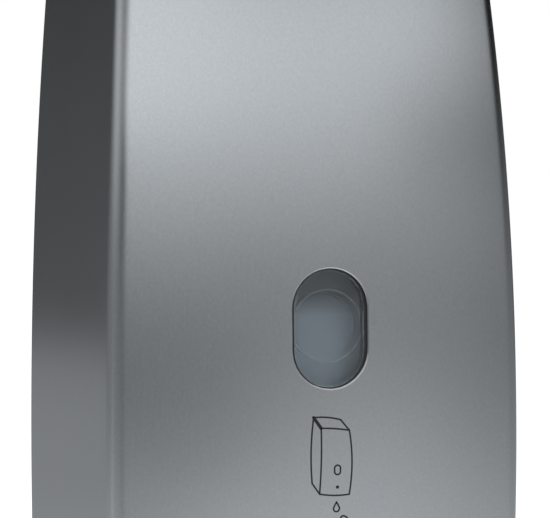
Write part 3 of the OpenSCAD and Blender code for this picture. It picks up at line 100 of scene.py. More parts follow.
THREAD_START, THREAD_PITCH, THREAD_TURNS, THREAD_DEPTH = 0.0042, 0.00032, 14, 0.00018
BARREL_PITCH = 0.0007
# least fold radius, fold radius and half width at the innermost ring of the top
LEAST_FOLD_R, TOP_FOLD_R, TOP_CORE = 0.0012, 0.0035, 0.012
LOCK_PLACE = Matrix.Translation((0, -LOCK_DIST, 0))
SPIGOT_PLACE = Matrix.Translation((SPIGOT_X, -SPIGOT_DIST, 0))

# ---- shape of the case -----------------------------------------------------------------------------


def half_w(z):
    return CASE_W / 2 - (z - WIDEST_Z) ** 2 / (2 * SIDE_CURVE_R)


def fold_dist(z):
    return CASE_D - (z - DEEPEST_Z) ** 2 / (2 * FRONT_CURVE_R)


def front_dist(x, z):
    return fold_dist(z) + FRONT_BULGE * (1 - (x / half_w(z)) ** 2)


def sway(x, z):
    """Rise of the top and drop of the base towards the middle."""
    return TOP_DOME * z / CASE_TOP * (1 - (x / half_w(z)) ** 2)


def row_level(x, z):
    """The row of the skin whose point at x lies at level z."""
    row = z
    for _ in range(4):
        row = z - sway(x, row)
    return row


def on_front(x, z, depth=0.0):
    """The point of the front at x and level z, moved inward by depth."""
    return Vector((x, depth - front_dist(x, row_level(x, z)), z))


WINDOW_PLACE = Matrix.Translation(on_front(0, WINDOW_Z)) @ Matrix.Rotation(-WINDOW_TILT, 4, "X")
SIDE_STEPS, ARC_STEPS, FRONT_STEPS = 8, 14, 96
EDGE_STEPS, WALL_STEPS, TOP_STEPS = 12, 96, 16


def outline(z, inset, r, rear=WALL_GAP):
    """Plan outline at level z, moved inward by inset, from the right rear edge round to the left one."""
    a = half_w(z) - inset
    slope = math.atan(2 * FRONT_BULGE * (a - 0.7 * r) / half_w(z) ** 2)
    xt = a - r + r * math.sin(slope)
    arc = front_dist(xt, z) - inset - r * math.cos(slope)
    side = [(a, -rear - (arc - rear) * k / SIDE_STEPS) for k in range(SIDE_STEPS)]
    for k in range(ARC_STEPS + 1):
        t = k / ARC_STEPS * (math.pi / 2 - slope)
        side.append((a - r + r * math.cos(t), -arc - r * math.sin(t)))
    front = []
    for k in range(1, FRONT_STEPS):
        x = xt * (1 - 2 * k / FRONT_STEPS)
        front.append((x, inset - front_dist(x, z)))
    return side + front + [(-x, y) for x, y in reversed(side)]


def fold_at(inset):
    """Radius of the front folds at an inset: less inside the sheet, wider towards the top's middle."""
    if inset < FOLD_R:
        return max(FOLD_R - inset, LEAST_FOLD_R)
    return min(LEAST_FOLD_R + (inset - FOLD_R) / 2, TOP_FOLD_R)


def skin_rows(t):
    """Rows of the cover's skin, as (level, inset), at depth t below the outside."""
    curl, top = CURL_R - t, TOP_R - t
    low, high = CASE_BASE + CURL_R, CASE_TOP - TOP_R
    rows = [(low - curl * math.cos(a), CURL_R - curl * math.sin(a)) for a in quarter(EDGE_STEPS)]
    rows += [(low + (high - low) * k / WALL_STEPS, t) for k in range(1, WALL_STEPS)]
    rows += [(high + top * math.sin(a), TOP_R - top * math.cos(a)) for a in quarter(EDGE_STEPS)]
    reach = half_w(CASE_TOP) - TOP_R - TOP_CORE
    rows += [(CASE_TOP - t, TOP_R + reach * k / TOP_STEPS) for k in range(1, TOP_STEPS + 1)]
    return rows


def pill_points(w, h, ahead, dz=0.0):
    """A tall pill's outline: for each direction in ahead, the point on that ray from the middle."""
    points = []
    r, s = w / 2, (h - w) / 2
    for dx, dy in ahead:
        if dx == 0 or abs(dy / dx) * r > s:
            # on a round end, whose middle is at (0, c)
            c = math.copysign(s, dy)
            n = math.hypot(dx, dy)
            dx, dy = dx / n, dy / n
            reach = dy * c + math.sqrt(max((dy * c) ** 2 - c * c + r * r, 0))
        else:
            reach = r / abs(dx)
        points.append((dx * reach, dy * reach + dz))
    return points


# ---- small mesh helpers ----------------------------------------------------------------------------


def around(steps, first=0):
    """Angles of a full turn."""
    return [2 * math.pi * (k + first) / steps for k in range(steps)]


def quarter(steps):
    """Angles of a quarter turn, with both its ends."""
    return [math.pi / 2 * k / steps for k in range(steps + 1)]


def new_object(name, bm, smooth_deg=40):
    """An object from bm, smooth except over edges sharper than smooth_deg."""
    mesh = bpy.data.meshes.new(name)
    bmesh.ops.recalc_face_normals(bm, faces=bm.faces)
    for f in bm.faces:
        f.smooth = True
    for e in bm.edges:
        if len(e.link_faces) == 2 and e.calc_face_angle(0) > math.radians(smooth_deg):
            e.smooth = False
    bm.to_mesh(mesh)
    bm.free()
    obj = bpy.data.objects.new(name, mesh)
    bpy.context.scene.collection.objects.link(obj)
    return obj


def join_rings(bm, rings, closed=False):
    """Faces between each ring of vertices and the next, and from the last to the first if closed."""
    for low, high in zip(rings, rings[1:] + rings[:1] if closed else rings[1:]):
        for k in range(len(low)):
            n = (k + 1) % len(low)
            bm.faces.new((low[k], low[n], high[n], high[k]))


def stack(bm, loops):
    """A closed solid over loops of (x, y, z) with equal counts, with flat ends."""
    rings = [[bm.verts.new(p) for p in loop] for loop in loops]
    join_rings(bm, rings)
    bm.faces.new(list(reversed(rings[0])))
    bm.faces.new(rings[-1])


def lathe(bm, profile, place, steps=48):
    """A closed turned solid: profile is (radius, height) from one end of the axis to the other."""
    rings = []
    for r, h in profile:
        turn = around(steps) if r > 0 else [0]
        rings.append([bm.verts.new(place @ Vector((r * math.cos(a), r * math.sin(a), h))) for a in turn])
    for low, high in zip(rings, rings[1:]):
        for k in range(steps):
            n = (k + 1) % steps
            if len(low) == 1:
                bm.faces.new((low[0], high[k], high[n]))
            elif len(high) == 1:
                bm.faces.new((low[k], high[0], low[n]))
            else:
                bm.faces.new((low[k], high[k], high[n], low[n]))


def rod(bm, r, h0, h1, place, steps=48):
    """A plain cylinder from height h0 to h1 on its axis."""
    lathe(bm, [(0, h0), (r, h0), (r, h1), (0, h1)], place, steps)


def turned_ring(bm, profile, place, steps=64, radius=None):
    """A ring turned from a closed profile of (radius, height); radius(a, r) can scale it round the axis."""
    rings = []
    for r, h in profile:
        ring = []
        for a in around(steps):
            q = r * (radius(a, r) if radius else 1)
            ring.append(bm.verts.new(place @ Vector((q * math.cos(a), q * math.sin(a), h))))
        rings.append(ring)
    join_rings(bm, rings, True)


def lifted(by, profile):
    """A profile of (radius, height) whose heights are counted from by."""
    return [(r, by + h) for r, h in profile]


def along_y(x, dist, z):
    """Places a turned shape with its axis pointing from the wall into the room, from wall distance dist."""
    return Matrix.Translation((x, -dist, z)) @ Matrix.Rotation(math.pi / 2, 4, "X")


def along_x(x, dist, z):
    """Places a turned shape with its axis pointing to the right."""
    return Matrix.Translation((x, -dist, z)) @ Matrix.Rotation(math.pi / 2, 4, "Y")


def bevelled_box(bm, place, size, r, segments=2):
    made = bmesh.ops.create_cube(bm, size=1, matrix=place @ Matrix.Diagonal((*size, 1)))
    edges = {e for v in made["verts"] for e in v.link_edges}
    bmesh.ops.bevel(bm, geom=list(edges), offset=r, segments=segments, profile=0.5, affect="EDGES")


def rounded_block(bm, x0, x1, near, far, z0, z1, r):
    """A box between two corners, given as x, wall distance and level, with rounded edges."""
    middle = Matrix.Translation(((x0 + x1) / 2, -(near + far) / 2, (z0 + z1) / 2))
    bevelled_box(bm, middle, (x1 - x0, far - near, z1 - z0), r)


def rounded_loop(w, d, r, steps=8):
    """A rounded rectangle's corner arcs, as (x, y) about its middle."""
    loop = []
    for q, (right, back) in enumerate(((1, 1), (-1, 1), (-1, -1), (1, -1))):
        for k in range(steps + 1):
            a = math.pi / 2 * (q + k / steps)
            loop.append(((w / 2 - r) * right + r * math.cos(a), (d / 2 - r) * back + r * math.sin(a)))
    return loop


def cut(obj, cutter, how="DIFFERENCE"):
    """Takes cutter away from obj, or joins it on, and removes cutter."""
    mod = obj.modifiers.new("cut", "BOOLEAN")
    mod.operation, mod.solver, mod.object = how, "EXACT", cutter
    dg = bpy.context.evaluated_depsgraph_get()
    made = bpy.data.meshes.new_from_object(obj.evaluated_get(dg))
    obj.modifiers.clear()
    obj.data = made
    bpy.data.objects.remove(cutter)


def finish(obj, node, body, slot):
    """Ties a piece to its body, to the node that it stands for, if any, and to its material."""
    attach(obj, body)
    if node:
        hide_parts(node)
    obj.data.materials.clear()
    obj.data.materials.append(MATERIALS[slot])


# ---- cover -----------------------------------------------------------------------------------------
LIP_R, LIP_STEPS = 0.0006, 6
FLAT_EDGE = 0.0001
# half the height and half the width of the front that is made anew round each hole
WINDOW_BLOCK, INDICATOR_BLOCK = (0.0225, 0.016), (0.005, 0.005)


def skin_grid(bm, t):
    """The cover's skin at depth t below the outside, as rows of vertices."""
    rows = []
    for level, inset in skin_rows(t):
        plan = outline(level, inset, fold_at(inset))
        rows.append([bm.verts.new((x, y, level + sway(x, level))) for x, y in plan])
    return rows


def front_block(skin, z, z_half, x_half):
    """First and last row and column of the part of the front that holds a hole at level z."""
    middle = len(skin[0]) // 2
    wall = range(EDGE_STEPS, EDGE_STEPS + WALL_STEPS)
    i0 = max(i for i in wall if skin[i][middle].co.z < z - z_half)
    i1 = min(i for i in wall if skin[i][middle].co.z > z + z_half)
    row = skin[(i0 + i1) // 2]
    front = [j for j, v in enumerate(row) if v.co.y < -CASE_D * 0.9 and abs(v.co.x) < x_half]
    return i0, i1, min(front) - 1, max(front) + 1


def block_edge(skin, block):
    """The vertices round a block, in order."""
    i0, i1, j0, j1 = block
    loop = [skin[i0][j] for j in range(j0, j1)] + [skin[i][j1] for i in range(i0, i1)]
    return loop + [skin[i1][j] for j in range(j1, j0, -1)] + [skin[i][j0] for i in range(i1, i0, -1)]


def pill_hole(bm, skins, block, z, w, h, lip, offsets):
    """Fills the block between its edge and a pill shaped hole, on both skins, and rolls the hole's edge."""

    def ring(last, ahead, grow, depth):
        """Faces from the last ring to a pill that is wider by grow all round."""
        pill = pill_points(w + 2 * grow, h + 2 * grow, ahead, z)
        made = [bm.verts.new(on_front(px, pz, depth)) for px, pz in pill]
        join_rings(bm, [last, made])
        return made

    ends = []
    for skin, t in zip(skins, (0.0, SHEET_T)):
        last = block_edge(skin, block)
        ahead = [(v.co.x, v.co.z - z) for v in last]
        for grow in offsets:
            last = ring(last, ahead, grow, t)
        ends.append((last, ahead))
    (last, ahead), (inner_end, _) = ends
    rolled = [(lip * math.sin(a), lip * (1 - math.cos(a))) for a in quarter(LIP_STEPS)[1:]]
    for inward, depth in rolled + [(lip, SHEET_T - FLAT_EDGE), (lip - FLAT_EDGE, SHEET_T)]:
        last = ring(last, ahead, -inward, depth)
    join_rings(bm, [last, inner_end])


def wall_clearance():
    """What is cut from the cover: its lower rear corners, which swing past the wall, and the lock's hole."""
    bm = bmesh.new()
    reach, beyond = HINGE_DIST - WALL_GAP, 0.01
    profile = [(-0.001, CASE_BASE - beyond), (HINGE_DIST, CASE_BASE - beyond)]
    profile += [(HINGE_DIST - reach * math.sin(a), HINGE_Z - reach * math.cos(a)) for a in quarter(16)]
    profile.append((-0.001, HINGE_Z))
    stack(bm, [[(x, -d, z) for d, z in profile] for x in (-0.08, 0.08)])
    rod(bm, LOCK_HOLE_R, -beyond, beyond, Matrix.Translation((0, -LOCK_DIST, CASE_TOP)))
    return new_object("cutter", bm)


def cover_fittings():
    """Hinge lugs and threaded weld studs on the inside of the cover."""
    bm = bmesh.new()
    edge, root = 0.0002, SHEET_T * 0.6
    for s in (-1, 1):
        x0, x1 = sorted((s * LUG_INNER, s * (LUG_OUTER - 0.0004)))
        lug = [(LUG_HOLE_R, x0 + edge), (LUG_HOLE_R + edge, x0), (LUG_R - edge, x0), (LUG_R, x0 + edge),
               (LUG_R, x1 - edge), (LUG_R - edge, x1), (LUG_HOLE_R + edge, x1), (LUG_HOLE_R, x1 - edge)]
        turned_ring(bm, lug, along_x(0, HINGE_DIST, HINGE_Z), 40)
        stud = [(0, root), (STUD_R, root)]
        for k in range(THREAD_TURNS):
            h = THREAD_START + k * THREAD_PITCH
            stud += [(STUD_R, h), (STUD_R - THREAD_DEPTH, h + THREAD_PITCH / 2)]
        stud += lifted(STUD_END, [(STUD_R - 0.0002, -0.0001), (STUD_R - 0.0005, 0), (0, 0)])
        place = WINDOW_PLACE @ Matrix.Translation((0, 0, s * STUD_Z)) @ Matrix.Rotation(-math.pi / 2, 4, "X")
        lathe(bm, stud, place, 24)
    return new_object("cover_fittings", bm, 60)


def cover_piece():
    """The pressed sheet cover: two smooth skins, their rims, a rolled window edge and an indicator hole."""
    bm = bmesh.new()
    skins = [skin_grid(bm, t) for t in (0.0, SHEET_T)]
    outer, inner = skins
    count, cols = len(outer), len(outer[0])
    window = front_block(outer, WINDOW_Z, *WINDOW_BLOCK)
    indicator = front_block(outer, INDICATOR_Z, *INDICATOR_BLOCK)
    left_out = set()
    for i0, i1, j0, j1 in (window, indicator):
        left_out |= {(i, j) for i in range(i0, i1) for j in range(j0, j1)}
    for rows in skins:
        for i in range(count - 1):
            for j in range(cols - 1):
                if (i, j) not in left_out:
                    bm.faces.new((rows[i][j], rows[i][j + 1], rows[i + 1][j + 1], rows[i + 1][j]))
    for j in range(cols - 1):
        bm.faces.new((outer[0][j], inner[0][j], inner[0][j + 1], outer[0][j + 1]))
    for i in range(count - 1):
        for j in (0, cols - 1):
            bm.faces.new((outer[i][j], outer[i + 1][j], inner[i + 1][j], inner[i][j]))
    for rows, t in zip(skins, (0.0, SHEET_T)):
        middle = bm.verts.new((0, -fold_dist(CASE_TOP) / 4, CASE_TOP + TOP_DOME - t))
        for j in range(cols):
            bm.faces.new((rows[-1][j], rows[-1][(j + 1) % cols], middle))
    bm.faces.new((outer[-1][0], outer[-1][-1], inner[-1][-1], inner[-1][0]))
    w, h = WINDOW_W + 2 * LIP_R, WINDOW_H + 2 * LIP_R
    pill_hole(bm, skins, window, WINDOW_Z, w, h, LIP_R, (0.0025, 0.0014, 0.0006, 0.0002, 0.0))
    w, h = 2 * INDICATOR_R + 0.0004, 2 * INDICATOR_R + 0.0005
    pill_hole(bm, skins, indicator, INDICATOR_Z, w, h, 0.0002, (0.0012, 0.0005, 0.0001, 0.0))
    shell = new_object("cover_shell", bm)
    cut(shell, wall_clearance())
    for piece in (shell, cover_fittings()):
        finish(piece, "front_cover", "cover", "brushed_stainless")


# ---- window ----------------------------------------------------------------------------------------
BEAD_R, BEAD_T, BEAD_RISE = 0.0118, 0.00012, 0.0007


def pill_tube(name, profile, closed):
    """A solid swept round the window's pill outline: profile is (width, height, depth behind the front)."""
    bm = bmesh.new()
    ahead = [(math.cos(a), math.sin(a) * 1.5) for a in around(96, 0.5)]
    rings = []
    for w, h, depth in profile:
        pill = [WINDOW_PLACE @ Vector((x, depth, z)) for x, z in pill_points(w, h, ahead)]
        rings.append([bm.verts.new(p) for p in pill])
    join_rings(bm, rings, closed)
    if not closed:
        bm.faces.new(rings[0])
        bm.faces.new(rings[-1])
    return new_object(name, bm, 25)


def gasket_piece():
    """The rubber gasket behind the sheet, with a thin lip that fills the gap round the pane."""
    front = PANE_DEPTH - 0.0010
    profile = [(FLANGE_W, FLANGE_H, PANE_DEPTH), (FLANGE_W, FLANGE_H, front)]
    lip = [(0.0002, front), (-0.0001, front - 0.0002), (-0.0001, LIP_FRONT + 0.0002), (-0.0003, LIP_FRONT),
           (-0.0010, LIP_FRONT), (-0.0012, LIP_FRONT + 0.0002), (-0.0012, PANE_DEPTH)]
    profile += [(WINDOW_W + grow, WINDOW_H + 0.5 * grow, depth) for grow, depth in lip]
    finish(pill_tube("gasket_lip", profile, True), "window_gasket", "cover", "black_rubber")


def pane_piece():
    """The clear pane: a flange behind the sheet, a raised bevelled middle, and a ring at its rear."""
    boss_w, boss_h = WINDOW_W - 0.0013, WINDOW_H - 0.0008
    flange = [(-0.0004, RETAINER_DEPTH), (0, RETAINER_DEPTH - 0.0002),
              (0, PANE_DEPTH + 0.0002), (-0.0004, PANE_DEPTH)]
    boss = [(0.0001, PANE_DEPTH), (0, PANE_DEPTH - 0.0003), (0, PANE_RECESS + 0.0007),
            (-0.0002, PANE_RECESS + 0.0005), (-0.0014, PANE_RECESS)]
    profile = [(FLANGE_W + grow, FLANGE_H + grow, depth) for grow, depth in flange]
    profile += [(boss_w + grow, boss_h + grow, depth) for grow, depth in boss]
    pane = pill_tube("pane", profile, False)
    bm = bmesh.new()
    rear = WINDOW_PLACE @ Matrix.Translation((0, 0, BEAD_RISE)) @ Matrix.Rotation(-math.pi / 2, 4, "X")
    foot = RETAINER_DEPTH + 0.00002
    bead = [(0, 0), (2, 0.3), (3, 0.3), (5, 0)]
    turned_ring(bm, [(BEAD_R - inward * BEAD_T, foot + rise * BEAD_T) for inward, rise in bead], rear, 96)
    for piece in (new_object("pane_bead", bm), pane):
        finish(piece, "window_pane", "cover", "clear_plastic")


# ---- tank ------------------------------------------------------------------------------------------


def tank_loop(z, t):
    """Closed plan outline of the tank at level z, moved inward by t."""
    front = outline(z, TANK_INSET + t, TANK_R - t, TANK_REAR + TANK_REAR_R)[1:-1]
    r = TANK_REAR_R - t
    x, y = half_w(z) - TANK_INSET - t - r, -TANK_REAR - t - r
    left = [(-x - r * math.cos(a), y + r * math.sin(a)) for a in quarter(8)]
    right = [(x + r * math.sin(a), y + r * math.cos(a)) for a in quarter(8)]
    return left + right + front


def tank_body(name, inset, z0, z1, edge):
    """A lofted body inset from the tank's outside, with rounded top and bottom edges."""
    bm = bmesh.new()
    low, high, core = z0 + edge, z1 - edge, inset + edge
    rows = [(low - edge * math.cos(a), core - edge * math.sin(a)) for a in quarter(6)]
    rows += [(low + (z1 - z0 - 2 * edge) * k / 24, inset) for k in range(1, 24)]
    rows += [(high + edge * math.sin(a), core - edge * math.cos(a)) for a in quarter(6)]
    stack(bm, [[(x, y, z) for x, y in tank_loop(z, t)] for z, t in rows])
    return new_object(name, bm)


def tank_collar():
    """The filler collar round the mouth, rounded at its top."""
    bm = bmesh.new()
    loops = []
    for h, grow in ((-0.003, 0), (COLLAR_H - 0.0004, 0), (COLLAR_H - 0.0001, -0.0002), (COLLAR_H, -0.0005)):
        wide = 2 * (COLLAR_T + grow)
        loop = rounded_loop(MOUTH_W + wide, MOUTH_D + wide, 0.008 + grow)
        loops.append([(x, y - MOUTH_DIST, TANK_TOP + h) for x, y in loop])
    stack(bm, loops)
    return new_object("collar", bm)


def tank_fittings():
    """The outlet spigot and the two ears that hold the lid's pin."""
    bm = bmesh.new()
    root = TANK_FOOT + 0.001
    profile = lifted(SPIGOT_LOW, [(0, 0), (SPIGOT_R - 0.0008, 0), (SPIGOT_R, 0.0008)])
    profile += [(SPIGOT_R, root), (0, root)]
    lathe(bm, profile, SPIGOT_PLACE)
    arc = [(LID_DIST + KNUCKLE_R * math.cos(a), LID_Z + KNUCKLE_R * math.sin(a)) for a in around(32)[:17]]
    side = [(LID_DIST + KNUCKLE_R, TANK_TOP - 0.001)] + arc + [(LID_DIST - KNUCKLE_R, TANK_TOP - 0.001)]
    for s in (-1, 1):
        stack(bm, [[(x, -d, z) for d, z in side] for x in sorted((s * EAR_X, s * (EAR_X + EAR_W)))])
    return new_object("fittings", bm)


def tank_bores():
    """What is cut from the tank's shell: the mouth, the spigot's bore and the hole for the lid's pin."""
    bm = bmesh.new()
    mouth = rounded_loop(MOUTH_W, MOUTH_D, 0.006)
    levels = (TANK_TOP - 2 * TANK_T, TANK_TOP + COLLAR_H + 0.001)
    stack(bm, [[(x, y - MOUTH_DIST, z) for x, y in mouth] for z in levels])
    rod(bm, SPIGOT_R - 0.002, SPIGOT_LOW - 0.001, TANK_FOOT + TANK_T + 0.001, SPIGOT_PLACE)
    rod(bm, LID_PIN_R, -0.021, 0.021, along_x(0, LID_DIST, LID_Z), 32)
    return new_object("bores", bm)


def tank_marks():
    """A raised ring behind the window, and level marks on the right of the front."""
    bm = bmesh.new()
    inner, face = RING_R - RING_T, front_dist(0, WINDOW_Z) - TANK_INSET
    profile = [(inner, -0.0012), (inner + 0.0004, 0.0001), (RING_R - RING_T / 2, 0.0003),
               (RING_R - 0.0004, 0.0001), (RING_R, -0.0012)]
    turned_ring(bm, lifted(face, profile), along_y(0, 0, WINDOW_Z), 72)
    for k in range(6):
        z, long = -0.045 + 0.018 * k, 0.009 if k % 2 == 0 else 0.006
        face = front_dist(0.040, z) - TANK_INSET
        rounded_block(bm, 0.044 - long, 0.044, face - 0.0016, face + 0.0001, z - 0.0004, z + 0.0004, 0.00015)
    return new_object("tank_marks", bm, 60)


def tank_piece():
    """The blow moulded tank: one hollow shell with collar, ears and spigot, and its moulded marks."""
    shell = tank_body("tank_shell", 0, TANK_FOOT, TANK_TOP, TANK_EDGE)
    cut(shell, tank_collar(), "UNION")
    cut(shell, tank_fittings(), "UNION")
    cut(shell, tank_body("inside", TANK_T, TANK_FOOT + TANK_T, TANK_TOP - TANK_T, 0.001))
    cut(shell, tank_bores())
    for piece in (shell, tank_marks()):
        finish(piece, "soap_tank", "tank", "frosted_plastic")


# ---- lock, nozzle, cells, knob, motor, board -------------------------------------------------------


def lock_barrel():
    """The lock's turned barrel with its thread and dished face."""
    bm = bmesh.new()
    bore, thread, head = PLUG_R + 0.00006, LOCK_TOP - BARREL_LOW - 0.0042, LOCK_TOP + 0.0002
    profile = [(bore, BARREL_LOW + 0.0002), (bore + 0.0003, BARREL_LOW)]
    for k in range(math.ceil(thread / BARREL_PITCH)):
        profile += lifted(BARREL_LOW + k * BARREL_PITCH, [(BARREL_R - 0.0004, 0.0001), (BARREL_R, 0.0004)])
    profile += lifted(LOCK_TOP, [(BARREL_R - 0.0002, -0.0036), (BARREL_R, -0.0034)])
    r = BARREL_HEAD_R
    face = [(BARREL_R, 0), (r - 0.0002, 0), (r, 0.0002), (r, 0.0008), (r - 0.0003, 0.0013),
            (r - 0.0009, 0.0015), (r - 0.0013, 0.00145), (PLUG_R + 0.0009, 0.0012),
            (PLUG_R + 0.0003, 0.0012), (bore, 0.0010)]
    turned_ring(bm, profile + lifted(head, face), LOCK_PLACE, 72)
    finish(new_object("lock_housing", bm, 50), "lock_barrel", "cover", "bright_steel")


def lock_plug():
    """The lock's plug, with a round key way, a slot across it and the pin that holds the cam."""
    bm = bmesh.new()
    r, top = PLUG_R, LOCK_TOP + 0.0015
    profile = lifted(CAM_Z, [(0, 0), (0.0020, 0), (0.0020, CAM_T), (r - 0.0002, CAM_T), (r, CAM_T + 0.0002)])
    profile += lifted(top, [(r, -0.0005), (r - 0.0005, 0), (0.0019, 0), (0.0017, -0.0003), (0, -0.0003)])
    lathe(bm, profile, LOCK_PLACE, 64)
    plug = new_object("key_plug", bm)
    way = bmesh.new()
    way_low, way_high = top - 0.0045, top + 0.001
    rod(way, 0.0010, way_low, way_high, LOCK_PLACE, 32)
    cut(plug, new_object("way", way))
    slot = bmesh.new()
    half = 0.0004
    rounded_block(slot, -0.0024, 0.0024, LOCK_DIST - half, LOCK_DIST + half, way_low, way_high, 0.0001)
    cut(plug, new_object("slot", slot))
    finish(plug, "lock_plug", "lock", "bright_steel")


def nozzle_piece():
    """The spout: tapered tip with a rounded mouth, a collar over the tray and a ridged side barb."""
    bm = bmesh.new()
    duct, mouth, collar, r = 0.0016, 0.0028, 0.0085, NOZZLE_R
    tip = [(mouth, 0.0022), (mouth, 0.0002), (mouth + 0.0003, 0), (0.0039, 0), (0.0042, 0.0003)]
    profile = lifted(NOZZLE_LOW, tip) + [(r - 0.0002, TRAY_LOW - 0.0003), (r, TRAY_LOW)]
    profile += lifted(TRAY_TOP, [(r, 0), (collar - 0.0002, 0), (collar, 0.0002), (collar, 0.0012),
                                 (collar - 0.0003, 0.0015), (r + 0.0004, 0.0015), (r, 0.0020)])
    profile += lifted(NOZZLE_TOP, [(r, -0.0006), (r - 0.0006, 0), (duct, 0)])
    turned_ring(bm, profile + [(duct, NOZZLE_LOW + 0.0022)], Matrix.Translation((0, -NOZZLE_DIST, 0)), 64)
    r = BARB_R
    barb = [(0, 0.003), (r - 0.0001, 0.003)]
    for k in range(3):
        barb += lifted(0.0066 + 0.0014 * k, [(r - 0.0002, 0), (r, 0.0001), (r - 0.0003, 0.0013)])
    lathe(bm, barb + [(r - 0.0004, 0.0111), (0, 0.0111)], along_x(0, NOZZLE_DIST, ELBOW_Z), 32)
    finish(new_object("spout", bm, 35), "nozzle", "wall_unit", "dark_plastic")


def cell_pieces():
    """Four cells: shrunk jackets, and steel ends with crimped caps."""
    jackets, ends = bmesh.new(), bmesh.new()
    skin = [(CELL_R - 0.0016, 0.0003), (CELL_R - 0.0008, 0), (CELL_R - 0.0002, 0.0003), (CELL_R, 0.0009)]
    skin += [(r, CELL_LEN - h) for r, h in reversed(skin)]
    can = [(0, 0.0002), (0.0045, 0.0002), (0.0048, 0.0005), (CELL_R - 0.0012, 0.0006)]
    can += lifted(CELL_LEN, [(CELL_R - 0.0012, -0.0006), (0.0034, -0.0005), (0.0031, -0.0002), (0.0028, 0),
                             (0.0028, 0.0007), (0.0024, 0.0010), (0, 0.0010)])
    turned_round = [(r, CELL_LEN - h) for r, h in reversed(can)]
    for z, metal in zip(CELL_ROWS, (can, turned_round)):
        place = along_x(0, CELL_DIST, z)
        for start in (-CELL_START - CELL_LEN, CELL_START):
            turned_ring(jackets, lifted(start, skin), place, 48)
            lathe(ends, lifted(start, metal), place, 40)
    finish(new_object("cell_jackets", jackets, 50), "battery_cells", "wall_unit", "cell_jacket")
    finish(new_object("cell_ends", ends, 50), "battery_cells", "wall_unit", "bright_steel")


def knob_piece():
    """The dose knob: a fluted grip on a skirt, with a raised pointer."""
    bm = bmesh.new()
    place, grip, hub = along_y(KNOB_X, 0, KNOB_Z), KNOB_R - 0.001, 0.0012

    def flutes(a, r):
        return 1 - 0.05 * max(0.0, math.cos(24 * a)) if r > 0.0060 else 1.0

    rod(bm, 0.0015, SWITCH_FRONT - 0.0015, SWITCH_FRONT + 0.0003, place, 32)
    skirt = [(hub, 0.0003), (KNOB_R - 0.0002, 0.0003), (KNOB_R, 0.0005), (KNOB_R, 0.0012),
             (KNOB_R - 0.0003, 0.0015), (grip + 0.0001, 0.0015), (hub, 0.0015)]
    turned_ring(bm, lifted(SWITCH_FRONT, skirt), place, 96)
    cap = [(0.0002, 0.0014), (grip, 0.0014), (grip, 0.0042), (grip - 0.0002, 0.0047), (grip - 0.0007, 0.0050),
           (grip - 0.0016, 0.0050), (0.0036, 0.0047), (0.0002, 0.0046)]
    turned_ring(bm, lifted(SWITCH_FRONT, cap), place, 192, flutes)
    half = 0.00035
    rounded_block(bm, KNOB_X - half, KNOB_X + half, SWITCH_FRONT + 0.0040, SWITCH_FRONT + 0.0050,
                  KNOB_Z + 0.0012, KNOB_Z + grip - 0.0012, 0.00015)
    finish(new_object("dose_grip", bm), "dose_knob", "knob", "white_plastic")


def knob_scale():
    """Seven strokes printed round the knob, the outer two and the middle one longer."""
    bm = bmesh.new()
    for k in range(-3, 4):
        long = 0.0017 if k % 3 == 0 else 0.0011
        turn = Matrix.Rotation(math.radians(-40 * k), 4, "Y")
        place = Matrix.Translation((KNOB_X, -SWITCH_FRONT, KNOB_Z)) @ turn
        stroke = place @ Matrix.Translation((0, -0.00002, 0.0085 + long / 2))
        bevelled_box(bm, stroke, (0.0004, 0.00006, long), 0.00001, 1)
    finish(new_object("dose_scale", bm), None, "wall_unit", "white_plastic")


def motor_pieces():
    """The motor: a drawn can with dimples and a rolled rear edge, a moulded end cap and its two tags."""
    rear, r = MOTOR_FRONT - MOTOR_LEN, MOTOR_R
    place = along_y(MOTOR_X, 0, MOTOR_Z)
    bm = bmesh.new()
    profile = lifted(rear, [(0, 0.0015), (r - 0.0012, 0.0015), (r - 0.0008, 0.0002),
                            (r - 0.0002, 0.0001), (r, 0.0006)])
    profile += lifted(MOTOR_FRONT, [(r, -0.0012), (r - 0.0004, -0.0004), (r - 0.0012, 0), (0.0042, 0),
                                    (0.0040, 0.0002), (0.0040, 0.0015), (0.0037, 0.0018), (0.0013, 0.0018),
                                    (0.0011, 0.0012), (0, 0.0012)])
    lathe(bm, profile, place, 72)
    for k in range(3):
        a = math.radians(70 + 120 * k)
        x, z = MOTOR_X + (r - 0.0003) * math.cos(a), MOTOR_Z + (r - 0.0003) * math.sin(a)
        outward = Matrix.Rotation(math.pi / 2 - a, 4, "Y")
        rod(bm, 0.0007, -0.0005, 0.0002, Matrix.Translation((x, -(rear + 0.004), z)) @ outward, 16)
    finish(new_object("motor_can", bm), "motor", "wall_unit", "plain_steel")
    bm = bmesh.new()
    profile = [(0, -0.0015), (0.0034, -0.0015), (0.0040, -0.0009), (0.0040, 0.0001),
               (r - 0.0020, 0.0001), (r - 0.0014, 0.0006), (r - 0.0013, 0.0018), (0, 0.0018)]
    lathe(bm, lifted(rear, profile), place, 64)
    finish(new_object("motor_cap", bm), "motor", "wall_unit", "white_plastic")
    bm = bmesh.new()
    low, high = MOTOR_Z - 0.0003, MOTOR_Z + 0.0003
    for x in (MOTOR_X - 0.007, MOTOR_X + 0.007):
        rounded_block(bm, x - 0.0012, x + 0.0012, rear - 0.004, rear + 0.0004, low, high, 0.0001)
    finish(new_object("motor_tags", bm), "motor", "wall_unit", "brass")


SMALL_PARTS = [(-0.0165, 0.006), (-0.0130, 0.006), (-0.0095, 0.007), (0.0080, -0.0125), (0.0110, 0.0030),
               (0.0080, 0.0065), (-0.0125, -0.0110)]


